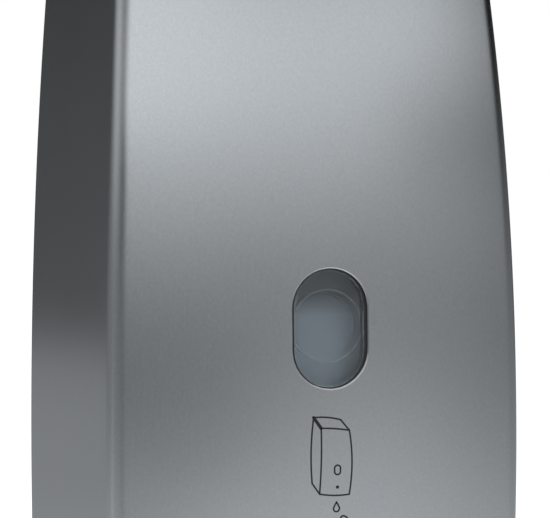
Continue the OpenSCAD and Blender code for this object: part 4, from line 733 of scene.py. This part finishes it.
def component_pieces():
    """What is soldered on the control board: chip, regulator, capacitors, small parts and sockets."""
    dark, metal, pale = bmesh.new(), bmesh.new(), bmesh.new()

    def at(bm, x0, x1, h0, h1, z0, z1, r):
        """A block on the board, from height h0 to h1 over its face."""
        near, far = BOARD_FACE + h0, BOARD_FACE + h1
        rounded_block(bm, BOARD_X + x0, BOARD_X + x1, near, far, BOARD_Z + z0, BOARD_Z + z1, r)

    # the chip, its pin mark and its legs on four sides
    at(dark, -0.0052, 0.0052, 0.0003, 0.0018, -0.0052, 0.0052, 0.0003)
    rod(metal, 0.0004, 0, 0.00186, along_y(BOARD_X - 0.0040, BOARD_FACE, BOARD_Z + 0.0040), 16)
    for k in range(10):
        q = -0.0045 + 0.001 * k
        for a, b in ((-0.0060, -0.0050), (0.0050, 0.0060)):
            at(metal, a, b, 0.0, 0.0004, q - 0.0002, q + 0.0002, 0.00008)
            at(metal, q - 0.0002, q + 0.0002, 0.0, 0.0004, a, b, 0.00008)
    # a regulator with three legs
    at(dark, -0.0120, -0.0090, 0.0002, 0.0014, -0.0030, 0.0010, 0.00015)
    for k in range(3):
        at(metal, -0.0126, -0.0119, 0.0, 0.0005, -0.0026 + 0.0013 * k, -0.0021 + 0.0013 * k, 0.00008)
    # two capacitors
    sleeve = [(0, 0), (0.0030, 0), (0.0031, 0.0002), (0.0031, 0.0012), (0.0028, 0.0015), (0.0031, 0.0018),
              (0.0031, 0.0076), (0.0028, 0.0079), (0.0024, 0.0080), (0.0024, 0.0078), (0, 0.0078)]
    for x in (0.011, -0.016):
        place = along_y(BOARD_X + x, BOARD_FACE, BOARD_Z - 0.004)
        lathe(dark, sleeve, place, 40)
        rod(metal, 0.00235, 0.0070, 0.00795, place, 40)
    # small parts with a metal end on each side
    for x, z in SMALL_PARTS:
        at(dark, x - 0.0007, x + 0.0007, 0.0, 0.0006, z - 0.0006, z + 0.0006, 0.0001)
        for end in (x - 0.0009, x + 0.0009):
            at(metal, end - 0.0002, end + 0.0002, 0.0, 0.0006, z - 0.0006, z + 0.0006, 0.0001)
    # sockets for the wires
    at(pale, 0.0150, 0.0180, 0.0, 0.0040, 0.0040, 0.0090, 0.0003)
    at(pale, -0.005, 0.006, 0.0, 0.0055, -0.0177, -0.0135, 0.0003)
    for x in (-0.004, 0.009):
        at(pale, x - 0.004, x + 0.004, 0.0, 0.0055, 0.0125, 0.0175, 0.0003)
        for k in range(3):
            at(metal, x - 0.0023 + 0.002 * k, x - 0.0017 + 0.002 * k, 0.0002, 0.0008, 0.0114, 0.0126, 0.0001)
    finish(new_object("board_chips", dark), "board_components", "wall_unit", "dark_plastic")
    finish(new_object("board_metal", metal), "board_components", "wall_unit", "bright_steel")
    finish(new_object("board_sockets", pale), "board_components", "wall_unit", "white_plastic")


# ---- printed instruction symbol --------------------------------------------------------------------
INK_W, INK_T, INK_SUNK, DOT_R = 0.00054, 0.00003, 0.00002, 0.00055


def bow(a, b, sag, steps=8):
    """A shallow curve from a to b that swells by sag to the left of its way."""
    a, b = Vector(a), Vector(b)
    side = Vector((a.y - b.y, b.x - a.x)).normalized()
    return [a.lerp(b, t) + side * sag * 4 * t * (1 - t) for t in (k / steps for k in range(steps + 1))]


def symbol_lines():
    """The symbol as strokes of (x, z) in mm: a dispenser seen from the side, a drop and a hand."""
    top_left, top_right = (-6, -61), (3, -62)
    near_left, near_right = (-3.5, -64.5), (6, -65.5)
    low_left, low_right, side_low = (-4, -85.5), (6, -86), (-6.5, -82)
    strokes = [
        (bow(top_left, top_right, 0.4), 1),
        ([top_right, near_right], 1),
        (bow(near_left, near_right, 0.2), 1),
        (bow(near_right, low_right, 0.9), 1),
        (bow(low_left, low_right, -0.4), 1),
        (bow(near_left, low_left, 0.3), 1),
        (bow(top_left, side_low, -0.6), 1),
        ([side_low, low_left], 1),
        ([top_left, near_left], 2),
    ]
    turn = [math.pi / 12 * k for k in range(25)]
    pill = [(2 + math.cos(a), -78 + math.sin(a) + math.copysign(0.5, math.sin(a))) for a in turn[:-1]]
    strokes.append((pill + pill[:1], 1))
    tip, round_z = (1.7, -88.3), -90.4
    belly = [math.radians(150 + 24 * k) for k in range(11)]
    strokes.append(([tip] + [(tip[0] + math.cos(a), round_z + math.sin(a)) for a in belly] + [tip], 1))
    thumb = [(-6.5, -98.5), (-2.5, -97), (1, -95), (2, -95.5), (0, -97)]
    palm = [(0, -97), (2.5, -94.5), (3.5, -93), (4.5, -93), (5.5, -94), (4.5, -97), (0.5, -100), (-6.5, -101)]
    strokes += [(thumb, 1), (palm, 1)]
    return strokes


def smooth_path(points, per=6):
    """Points on a smooth curve through the given ones."""
    ps = [Vector(p) for p in points]
    if len(ps) < 3:
        return ps
    out = []
    for i in range(len(ps) - 1):
        a, b, c, d = ps[max(i - 1, 0)], ps[i], ps[i + 1], ps[min(i + 2, len(ps) - 1)]
        for t in (k / per for k in range(per)):
            bend = (2 * a - 5 * b + 4 * c - d) * t * t + (3 * b - a - 3 * c + d) * t ** 3
            out.append(0.5 * ((2 * b) + (c - a) * t + bend))
    return out + [ps[-1]]


def ink_band(bm, path, width):
    """A flat ribbon of ink along path, on the front."""
    loops = []
    for i, p in enumerate(path):
        ahead = (path[min(i + 1, len(path) - 1)] - path[max(i - 1, 0)]).normalized()
        across = Vector((-ahead.y, ahead.x)) * width / 2
        a, b = p * MM + across, p * MM - across
        corners = ((a, -INK_T), (a, INK_SUNK), (b, INK_SUNK), (b, -INK_T))
        loops.append([on_front(q.x, q.y, depth) for q, depth in corners])
    stack(bm, loops)


def ink_dot(bm, x, z, r):
    """A flat round of ink."""
    ring = [(x * MM + r * math.cos(a), z * MM + r * math.sin(a)) for a in around(24)]
    stack(bm, [[on_front(px, pz, depth) for px, pz in ring] for depth in (-INK_T, INK_SUNK)])


def symbol_piece():
    """The printed drawing under the window, with rounded ends on its strokes and the small indicator dot."""
    bm = bmesh.new()
    for points, weight in symbol_lines():
        ink_band(bm, smooth_path(points), INK_W * weight)
        for x, z in (points[0], points[-1]):
            ink_dot(bm, x, z, INK_W * weight / 2)
    ink_dot(bm, 2, -83.5, DOT_R)
    finish(new_object("printed_symbol", bm), None, "cover", "black_gloss")


# ---- materials -------------------------------------------------------------------------------------


def feed(links, value, socket):
    """Links a socket to another one, or sets it to a number or a colour."""
    if isinstance(value, bpy.types.NodeSocket):
        links.new(value, socket)
    else:
        socket.default_value = (*value, 1) if isinstance(value, tuple) else value


def new_node(nodes, kind, **values):
    """A new shader node whose inputs are set to values."""
    node = nodes.new("ShaderNode" + kind)
    for key, value in values.items():
        node.inputs[key.replace("_", " ")].default_value = value
    return node


class Tree:
    """A material's node tree, built up by short calls."""

    def __init__(self, name, **values):
        self.mat = bpy.data.materials.new(name)
        self.mat.use_nodes = True
        self.nodes, self.links = self.mat.node_tree.nodes, self.mat.node_tree.links
        self.shader = self.nodes["Principled BSDF"]
        self.coords = new_node(self.nodes, "TexCoord")
        for key, value in values.items():
            self.shader.inputs[key.replace("_", " ")].default_value = value

    def join(self, source, target):
        self.links.new(source, self.shader.inputs[target])

    def stretched(self, scale):
        """The piece's own coordinates in metres, scaled along each axis."""
        m = new_node(self.nodes, "Mapping", Scale=scale)
        self.links.new(self.coords.outputs["Object"], m.inputs["Vector"])
        return m.outputs["Vector"]

    def noise(self, scale, detail=3, stretch=(1, 1, 1), rough=0.5):
        n = new_node(self.nodes, "TexNoise", Scale=scale, Detail=detail, Roughness=rough)
        self.links.new(self.stretched(stretch), n.inputs["Vector"])
        return n.outputs["Fac"]

    def span(self, source, low, high, start=0.3, end=0.7):
        """From low to high, two numbers or two colours, while source goes from start to end."""
        r = new_node(self.nodes, "ValToRGB")
        for k, (place, value) in enumerate(((start, low), (end, high))):
            r.color_ramp.elements[k].position = place
            r.color_ramp.elements[k].color = (*(value if isinstance(value, tuple) else (value,) * 3), 1)
        self.links.new(source, r.inputs["Fac"])
        return r.outputs["Color"]

    def mix(self, a, b, factor, kind="MIX"):
        """Mixes two colours; each of a, b and factor is a socket or a value."""
        m = new_node(self.nodes, "Mix")
        m.data_type, m.blend_type = "RGBA", kind
        for number, value in ((0, factor), (6, a), (7, b)):
            feed(self.links, value, m.inputs[number])
        return m.outputs[2]

    def math(self, kind, a, b):
        m = new_node(self.nodes, "Math")
        m.operation = kind
        feed(self.links, a, m.inputs[0])
        feed(self.links, b, m.inputs[1])
        return m.outputs[0]

    def bump(self, height, strength, distance, after=None):
        b = new_node(self.nodes, "Bump", Strength=strength, Distance=distance)
        self.links.new(height, b.inputs["Height"])
        if after is not None:
            self.links.new(after, b.inputs["Normal"])
        return b.outputs["Normal"]

    def surface(self, colour, roughness, normal):
        """Joins the three to the shader and gives the material."""
        self.join(colour, "Base Color")
        self.join(roughness, "Roughness")
        self.join(normal, "Normal")
        return self.mat


def shades(colour, amount):
    """colour darkened and lightened by amount."""
    low = tuple(c * (1 - amount) for c in colour)
    high = tuple(min(c * (1 + amount), 1) for c in colour)
    return low, high


def brushed_metal(name, colour, roughness, grain, anisotropic, speck):
    """Sheet metal with a fine grain: grain stretches its noise along each axis, least along the grain."""
    t = Tree(name, Metallic=1.0, Anisotropic=anisotropic)
    tangent = new_node(t.nodes, "Tangent")
    tangent.direction_type, tangent.axis = "RADIAL", "Z"
    t.join(tangent.outputs[0], "Tangent")
    lines = t.noise(1, 4, grain, 0.6)
    specks = t.noise(1500, 2, (1, 1, 0.7), 0.6)
    cloud = t.noise(22)
    both = t.math("ADD", t.math("MULTIPLY", lines, 0.2), t.math("MULTIPLY", specks, 0.8))
    fine = t.span(both, *shades(colour, speck))
    tone = t.mix(fine, t.span(cloud, *shades(colour, 0.02), 0.35, 0.65), 0.4)
    wide = t.span(cloud, roughness - 0.015, roughness + 0.015)
    gloss = t.mix(wide, t.span(lines, roughness - 0.03, roughness + 0.04), 0.5)
    return t.surface(tone, gloss, t.bump(specks, 0.08, 0.00004, t.bump(lines, 0.05, 0.00004)))


def machined_metal(name, colour, roughness, turn=900, dull=0.1):
    """Turned or rolled metal with fine marks and slightly dull patches."""
    t = Tree(name, Metallic=1.0, Anisotropic=0.3)
    marks = t.noise(1, 3, (turn, turn, turn * 2.2), 0.6)
    cloud = t.noise(90, 4)
    tone = t.span(cloud, *shades(colour, dull), 0.3, 0.72)
    wide = t.span(cloud, roughness - 0.04, roughness + 0.08)
    gloss = t.mix(wide, t.span(marks, roughness - 0.05, roughness + 0.06), 0.5)
    return t.surface(tone, gloss, t.bump(marks, 0.12, 0.00003))


def moulded_plastic(name, colour, roughness, grain=2600, depth=0.25, vary=0.05):
    """Moulded plastic with a spark texture, faint flow clouds and slight gloss changes."""
    t = Tree(name, Specular_IOR_Level=0.5, IOR=1.5)
    spark = t.noise(grain, 2, (1, 1, 1), 0.65)
    cloud = t.noise(35, 4)
    low, high = shades(colour, vary)
    tone = t.mix(t.span(cloud, low, high), t.span(spark, low, high), 0.35)
    wide = t.span(cloud, roughness - 0.04, roughness + 0.05)
    gloss = t.mix(wide, t.span(spark, roughness - 0.06, roughness + 0.06), 0.4)
    return t.surface(tone, gloss, t.bump(spark, depth, 0.00006))


def soft_rubber(name, colour, roughness=0.7):
    """Dull rubber with a little dust."""
    t = Tree(name, Specular_IOR_Level=0.35, Sheen_Weight=0.15)
    dust = t.noise(500, 4, (1, 1, 1), 0.7)
    cloud = t.noise(60)
    low, high = shades(colour, 0.12)
    tone = t.mix(t.span(cloud, low, high), t.span(dust, low, high, 0.45, 0.75), 0.5)
    return t.surface(tone, t.span(dust, roughness - 0.08, roughness + 0.1), t.bump(dust, 0.2, 0.00008))


def milky_plastic(name, colour, roughness, weight=0.25, soap_and_shade_level=None):
    """Frosted or milky plastic: light goes a little way in. Above the given level it is darker: the empty
    part of a tank, and painted shade under the top of the window.
    """
    t = Tree(name, Subsurface_Weight=weight, Subsurface_Scale=0.004, IOR=1.49)
    t.shader.inputs["Subsurface Radius"].default_value = (1.0, 1.0, 1.0)
    frost = t.noise(1800, 3, (1, 1, 1), 0.6)
    cloud = t.noise(28, 4)
    low, high = shades(colour, 0.06)
    tone = t.mix(t.span(cloud, low, high), t.span(frost, low, high), 0.3)
    if soap_and_shade_level is not None:
        level = new_node(t.nodes, "SeparateXYZ")
        t.links.new(t.coords.outputs["Object"], level.inputs[0])
        # painted shade: darker above the soap's level, standing for the empty tank and for the shade under
        # the window's top edge
        above = t.math("MULTIPLY", t.math("SUBTRACT", level.outputs["Z"], soap_and_shade_level - FADE_LOW), FADE_RATE)
        tone = t.mix(tone, t.mix(tone, EMPTY_AND_SHADE_TINT, 1.0, "MULTIPLY"), t.span(above, 0.0, 1.0, 0.0, 1.0))
    wide = t.span(cloud, roughness - 0.05, roughness + 0.05)
    gloss = t.mix(wide, t.span(frost, roughness - 0.05, roughness + 0.08), 0.5)
    return t.surface(tone, gloss, t.bump(frost, 0.12, 0.00006))


def clear_plastic(name, colour, roughness=0.04):
    """Clear moulded plastic that lets lamps through."""
    t = Tree(name, Transmission_Weight=1.0, IOR=1.49)
    haze = t.noise(60, 4)
    tone = t.span(haze, *shades(colour, 0.02))
    gloss = t.span(haze, roughness * 0.6, roughness * 1.6, 0.35)
    t.surface(tone, gloss, t.bump(t.noise(900, 2), 0.03, 0.00003))
    path = new_node(t.nodes, "LightPath")
    clear = new_node(t.nodes, "BsdfTransparent", Color=(*colour, 1))
    both = new_node(t.nodes, "MixShader")
    shaders = (path.outputs["Is Shadow Ray"], t.shader.outputs[0], clear.outputs[0])
    for source, socket in zip(shaders, both.inputs):
        t.links.new(source, socket)
    t.links.new(both.outputs[0], t.nodes["Material Output"].inputs["Surface"])
    return t.mat


def circuit_board(name, colour):
    """Green solder mask with faint tracks below it."""
    t = Tree(name, Specular_IOR_Level=0.5, Coat_Weight=0.4, Coat_Roughness=0.15)
    tracks = new_node(t.nodes, "TexBrick", Scale=190, Mortar_Size=0.02)
    t.links.new(t.stretched((1, 1, 1)), tracks.inputs["Vector"])
    lines = tracks.outputs["Fac"]
    cloud = t.noise(120)
    low, high = shades(colour, 0.25)
    tone = t.mix(t.span(cloud, low, high), t.mix(low, high, lines), 0.4)
    return t.surface(tone, t.span(cloud, 0.25, 0.38), t.bump(lines, 0.15, 0.00005))


def jacket(name, colour, roughness=0.3):
    """Shrunk or drawn plastic skin: cells and wires."""
    t = Tree(name, Specular_IOR_Level=0.5, Coat_Weight=0.3, Coat_Roughness=0.2)
    rings = t.noise(1, 3, (140, 900, 900), 0.5)
    tone = t.span(t.noise(200), *shades(colour, 0.1))
    return t.surface(tone, t.span(rings, roughness - 0.06, roughness + 0.08), t.bump(rings, 0.08, 0.00005))


# the frosted plastic's tint above the soap, painted shade as well as the empty tank's tone, how far below the
# soap's level it starts, and its rise per metre
EMPTY_AND_SHADE_TINT, FADE_LOW, FADE_RATE = (0.27, 0.29, 0.30), 0.0035, 150
# each of the record's slots: the function that makes its material, and what that is given after the name
SLOTS = {
    "brushed_stainless": (brushed_metal, (0.50, 0.515, 0.525), 0.215, (2400, 2400, 90), 0.8, 0.075),
    "plain_steel": (machined_metal, (0.46, 0.465, 0.475), 0.36, 500),
    "bright_steel": (machined_metal, (0.60, 0.605, 0.615), 0.22),
    "clear_plastic": (clear_plastic, (0.76, 0.80, 0.82)),
    "frosted_plastic": (milky_plastic, (0.185, 0.212, 0.238), 0.5, 0.3, SOAP_AND_SHADE_LEVEL),
    "dark_plastic": (moulded_plastic, (0.035, 0.038, 0.042), 0.48),
    "grey_plastic": (moulded_plastic, (0.098, 0.104, 0.115), 0.5),
    "white_plastic": (moulded_plastic, (0.68, 0.69, 0.67), 0.4, 2000, 0.12, 0.03),
    "black_rubber": (soft_rubber, (0.012, 0.012, 0.013)),
    "grey_rubber": (soft_rubber, (0.21, 0.22, 0.225), 0.6),
    "silicone_tube": (milky_plastic, (0.60, 0.57, 0.49), 0.35, 0.5),
    "green_board": (circuit_board, (0.010, 0.085, 0.030)),
    "black_gloss": (moulded_plastic, (0.004, 0.0045, 0.0045), 0.34, 1200, 0.05),
    "bronze": (machined_metal, (0.34, 0.17, 0.06), 0.42, 700, 0.15),
    "brass": (machined_metal, (0.57, 0.35, 0.09), 0.26),
    "nylon": (milky_plastic, (0.72, 0.70, 0.61), 0.42, 0.3),
    "cell_jacket": (jacket, (0.035, 0.042, 0.05)),
    "smoked_lens": (clear_plastic, (0.10, 0.02, 0.03), 0.08),
    "red_plastic": (moulded_plastic, (0.45, 0.012, 0.01), 0.38, 1800, 0.12),
    "wire_jacket": (jacket, (0.30, 0.015, 0.012), 0.4),
}
MATERIALS = {slot: make(slot, *values) for slot, (make, *values) in SLOTS.items()}
WIRE_COLOURS = {
    "motor_wires": (0.02, 0.05, 0.28),
    "sensor_wires": (0.55, 0.55, 0.54),
    "switch_wires": (0.015, 0.015, 0.016),
}

# ---- CAD nodes that stay as they are ---------------------------------------------------------------
WIRES = ("battery_wires", "motor_wires", "sensor_wires", "switch_wires")
# swept nodes, whose ends are left as modelled
UNBEVELLED = WIRES + ("pump_tube", "inlet_hose", "outlet_hose")
# rounding of the edges, with the finest for all other nodes
FINE_EDGE = 0.00015
EDGE_R = {"tank_lid": 0.0005, "switch_box": 0.0003, "power_rocker": 0.0003, "back_plate": 0.0003}
for box_like in ("battery_box", "chassis", "base_tray", "gear_case", "pump_housing", "battery_door"):
    EDGE_R[box_like] = 0.0004


def soften(name, obj):
    """Smooth round faces, and a small rounding on the sharp edges, as a mould or a press leaves them."""
    mesh = obj.data
    for face in mesh.polygons:
        face.use_smooth = True
    bm = bmesh.new()
    bm.from_mesh(mesh)
    for e, edge in zip(bm.edges, mesh.edges):
        edge.use_edge_sharp = len(e.link_faces) != 2 or e.calc_face_angle(0) > math.radians(32)
    bm.free()
    if name in WIRES:
        for edge in mesh.edges:
            edge.use_edge_sharp = False
        rounder = obj.modifiers.new("rounder", "SUBSURF")
        rounder.levels = rounder.render_levels = 2
    if name in UNBEVELLED:
        return
    bevel = obj.modifiers.new("edges", "BEVEL")
    bevel.width, bevel.segments, bevel.limit_method = EDGE_R.get(name, FINE_EDGE), 2, "ANGLE"
    bevel.angle_limit = math.radians(40)
    bevel.use_clamp_overlap = True
    bevel.harden_normals = True


def dress_nodes():
    """Gives every CAD node its slot's material and softened edges."""
    slot_of = {row["node"]: row["material_slot"] for row in frame["record"]["subparts"]}
    for name, obj in NODES.items():
        mat = MATERIALS[slot_of[name]]
        if name in WIRE_COLOURS:
            mat = jacket("jacket_" + name, WIRE_COLOURS[name], 0.4)
        if not obj.material_slots:
            obj.data.materials.append(mat)
        for slot in obj.material_slots:
            slot.material = mat
        soften(name, obj)


# ---- studio ----------------------------------------------------------------------------------------
AIM = Vector((0.00048, -0.06005, -0.01495))
CAMERA_TURN, CAMERA_RISE, CAMERA_AWAY = math.radians(18.218), math.radians(4.218), 0.913
LENS, SENSOR_W = 177.729, 36
MIDDLE = Vector((0, -0.06, -0.015))
FLOOR_R, FLOOR_T = 6.0, 0.02
# the paper's first radius, the growth of its rings, the radius of its bend and the height of its wall's rows
PAPER_START, PAPER_GROWTH, PAPER_BEND, PAPER_ROW = 0.20, 1.13, 0.5, 0.08
SOFTBOX_W, SOFTBOX_AIM = 1.2, Vector((0, -0.05, 0))
SKY_LIGHT, FLOOR_LIFT = 0.62, 0.52


def aimed(name, data, place, look):
    """A camera or a lamp at place, turned to look along look."""
    obj = bpy.data.objects.new(name, data)
    obj.location = place
    obj.rotation_mode = "QUATERNION"
    obj.rotation_quaternion = look.to_track_quat("-Z", "Y")
    bpy.context.scene.collection.objects.link(obj)
    return obj


def camera():
    turn, rise = CAMERA_TURN, CAMERA_RISE
    look = Vector((math.sin(turn) * math.cos(rise), math.cos(turn) * math.cos(rise), -math.sin(rise)))
    data = bpy.data.cameras.new("camera")
    data.lens, data.sensor_width = LENS, SENSOR_W
    data.clip_start, data.clip_end = 0.01, 100
    bpy.context.scene.camera = aimed("camera", data, AIM - look * CAMERA_AWAY, look)


def softbox(name, place, power):
    """A square lamp that isn't seen in mirrors."""
    data = bpy.data.lights.new(name, "AREA")
    data.size, data.energy = SOFTBOX_W, power
    lamp = aimed(name, data, place, SOFTBOX_AIM - Vector(place))
    lamp.visible_glossy = lamp.visible_camera = False


def seen_directly(nodes, links):
    """1 for what the camera sees straight, in a mirror or through glass, 0 for light that falls on things."""
    path = new_node(nodes, "LightPath")
    total = path.outputs["Is Camera Ray"]
    for name in ("Is Glossy Ray", "Is Transmission Ray"):
        add = new_node(nodes, "Math")
        add.operation, add.use_clamp = "ADD", True
        links.new(total, add.inputs[0])
        links.new(path.outputs[name], add.inputs[1])
        total = add.outputs[0]
    return total


def world():
    """A white background; things are lit by a softer share of it."""
    w = bpy.data.worlds.new("studio")
    bpy.context.scene.world = w
    w.use_nodes = True
    nodes, links = w.node_tree.nodes, w.node_tree.links
    strength = new_node(nodes, "MapRange", To_Min=SKY_LIGHT, To_Max=1.0)
    links.new(seen_directly(nodes, links), strength.inputs["Value"])
    nodes["Background"].inputs["Color"].default_value = (1, 1, 1, 1)
    links.new(strength.outputs[0], nodes["Background"].inputs["Strength"])


def floor():
    """A pale floor, lifted a little where it is seen, so that it stays plain."""
    bm = bmesh.new()
    rod(bm, FLOOR_R, -FLOOR_T, 0, Matrix.Translation((MIDDLE.x, MIDDLE.y, FLOOR_Z)), 96)
    obj = new_object("floor", bm)
    t = Tree("pale_floor", Specular_IOR_Level=0.0, Emission_Color=(1, 1, 1, 1))
    cloud = t.noise(9)
    t.join(t.span(cloud, 0.79, 0.81), "Base Color")
    t.join(t.span(cloud, 0.85, 0.95), "Roughness")
    t.join(t.math("MULTIPLY", seen_directly(t.nodes, t.links), FLOOR_LIFT), "Emission Strength")
    obj.data.materials.append(t.mat)


def surround():
    """Grey paper round the object that only its mirror surfaces see: bright above, dark at the horizon."""
    bm = bmesh.new()
    glow = bm.verts.layers.float_color.new("glow")
    profile = [(PAPER_START * PAPER_GROWTH ** k, PAPER_Z) for k in range(20)]
    edge = profile[-1][0]
    bend = [(math.sin(a), 1 - math.cos(a)) for a in quarter(8)[1:]]
    profile += [(edge + PAPER_BEND * out, PAPER_Z + PAPER_BEND * up) for out, up in bend]
    wall_r, wall_z = profile[-1]
    profile += [(wall_r, wall_z + PAPER_ROW * k) for k in range(1, 34)]
    rings = []
    for r, z in profile:
        rise = math.degrees(math.atan2(z - MIDDLE.z, r))
        ring = []
        for az in around(144):
            v = bm.verts.new((MIDDLE.x + r * math.sin(az), MIDDLE.y - r * math.cos(az), z))
            v[glow] = (*paper_light(math.degrees(az), rise), 1)
            ring.append(v)
        rings.append(ring)
    join_rings(bm, rings)
    obj = new_object("studio_paper", bm)
    mat = bpy.data.materials.new("grey_paper")
    mat.use_nodes = True
    nodes, links = mat.node_tree.nodes, mat.node_tree.links
    nodes.remove(nodes["Principled BSDF"])
    shine, read = new_node(nodes, "Emission"), new_node(nodes, "Attribute")
    read.attribute_name = "glow"
    links.new(read.outputs["Color"], shine.inputs["Color"])
    links.new(shine.outputs[0], nodes["Material Output"].inputs["Surface"])
    obj.data.materials.append(mat)
    for ray in ("camera", "diffuse", "transmission", "shadow", "volume_scatter"):
        setattr(obj, "visible_" + ray, False)


def straight(stops, at):
    """A line through (place, value) stops."""
    for (a, va), (b, vb) in zip(stops, stops[1:]):
        if at <= b:
            return va + (vb - va) * max(at - a, 0) / (b - a)
    return stops[-1][1]


def soft_band(at, low, high, soft):
    """1 between low and high, 0 outside, with edges as wide as soft."""

    def rise(edge):
        t = min(max((at - edge) / soft + 0.5, 0), 1)
        return t * t * (3 - 2 * t)

    return rise(low) * (1 - rise(high))


# the bare paper's level by degrees above the horizon
PAPER = [(-90, 0.3), (-60, 0.3), (-40, 0.55), (-20, 0.55), (-10, 0.35),
         (0, 0.2), (10, 0.0), (25, 0.0), (40, 0.6), (50, 1.6)]
# cards hung before it: from and to in azimuth, soft edge, from and to in elevation, soft edge, level
CARDS = {
    "wide_box": (-35, 60, 40, 5, 25, 20, 1.0),
    "hot_middle": (-50, -5, 50, 12, 30, 4, 1.2),
    "left_box": (-120, -70, 60, 5, 20, 20, 0.9),
    "floor_glow": (20, 30, 70, -45, -3, 20, 1.1),
    "black_flag": (35, 150, 12, 8, 10, 10, 0.0),
    "dark_wall": (125, 210, 70, -6, 8, 2, 0.05),
}
# strips that lighten or dim what is there: the same six limits, then a factor
STRIPS = {
    "fold_line": (-98, -83, 14, -60, -2, 6, 1.38),
    "fold_shade": (-48, -30, 14, -60, 0, 6, 0.78),
    "left_low": (145, 215, 30, -60, -11.5, 5, 0.82),
    "low_middle": (-12, 5, 24, -60, -12.5, 6, 1.20),
}


def paper_light(az, el):
    """The paper's colour at az degrees from the room's side (-y) towards +x, el degrees above the horizon."""
    az = (az + 180) % 360 - 180

    def cover(az0, az1, az_soft, el0, el1, el_soft):
        across = max(soft_band(a, az0, az1, az_soft) for a in (az, az + 360))
        return across * soft_band(el, el0, el1, el_soft)

    level = straight(PAPER, el)
    for *limits, card in CARDS.values():
        level += (card - level) * cover(*limits)
    for *limits, factor in STRIPS.values():
        level *= 1 + (factor - 1) * cover(*limits)
    return (level * 0.97, level, level * 1.03)


# ---- build -----------------------------------------------------------------------------------------
camera()
world()
floor()
surround()
softbox("key", (0.9, -1.3, 1.5), 26)
softbox("fill", (-1.5, -0.9, 0.8), 9)
dress_nodes()
for make_piece in (cover_piece, gasket_piece, pane_piece, symbol_piece, tank_piece, lock_barrel, lock_plug,
                   nozzle_piece, cell_pieces, knob_piece, knob_scale, motor_pieces, component_pieces):
    make_piece()
bpy.context.scene.view_settings.view_transform = "Standard"
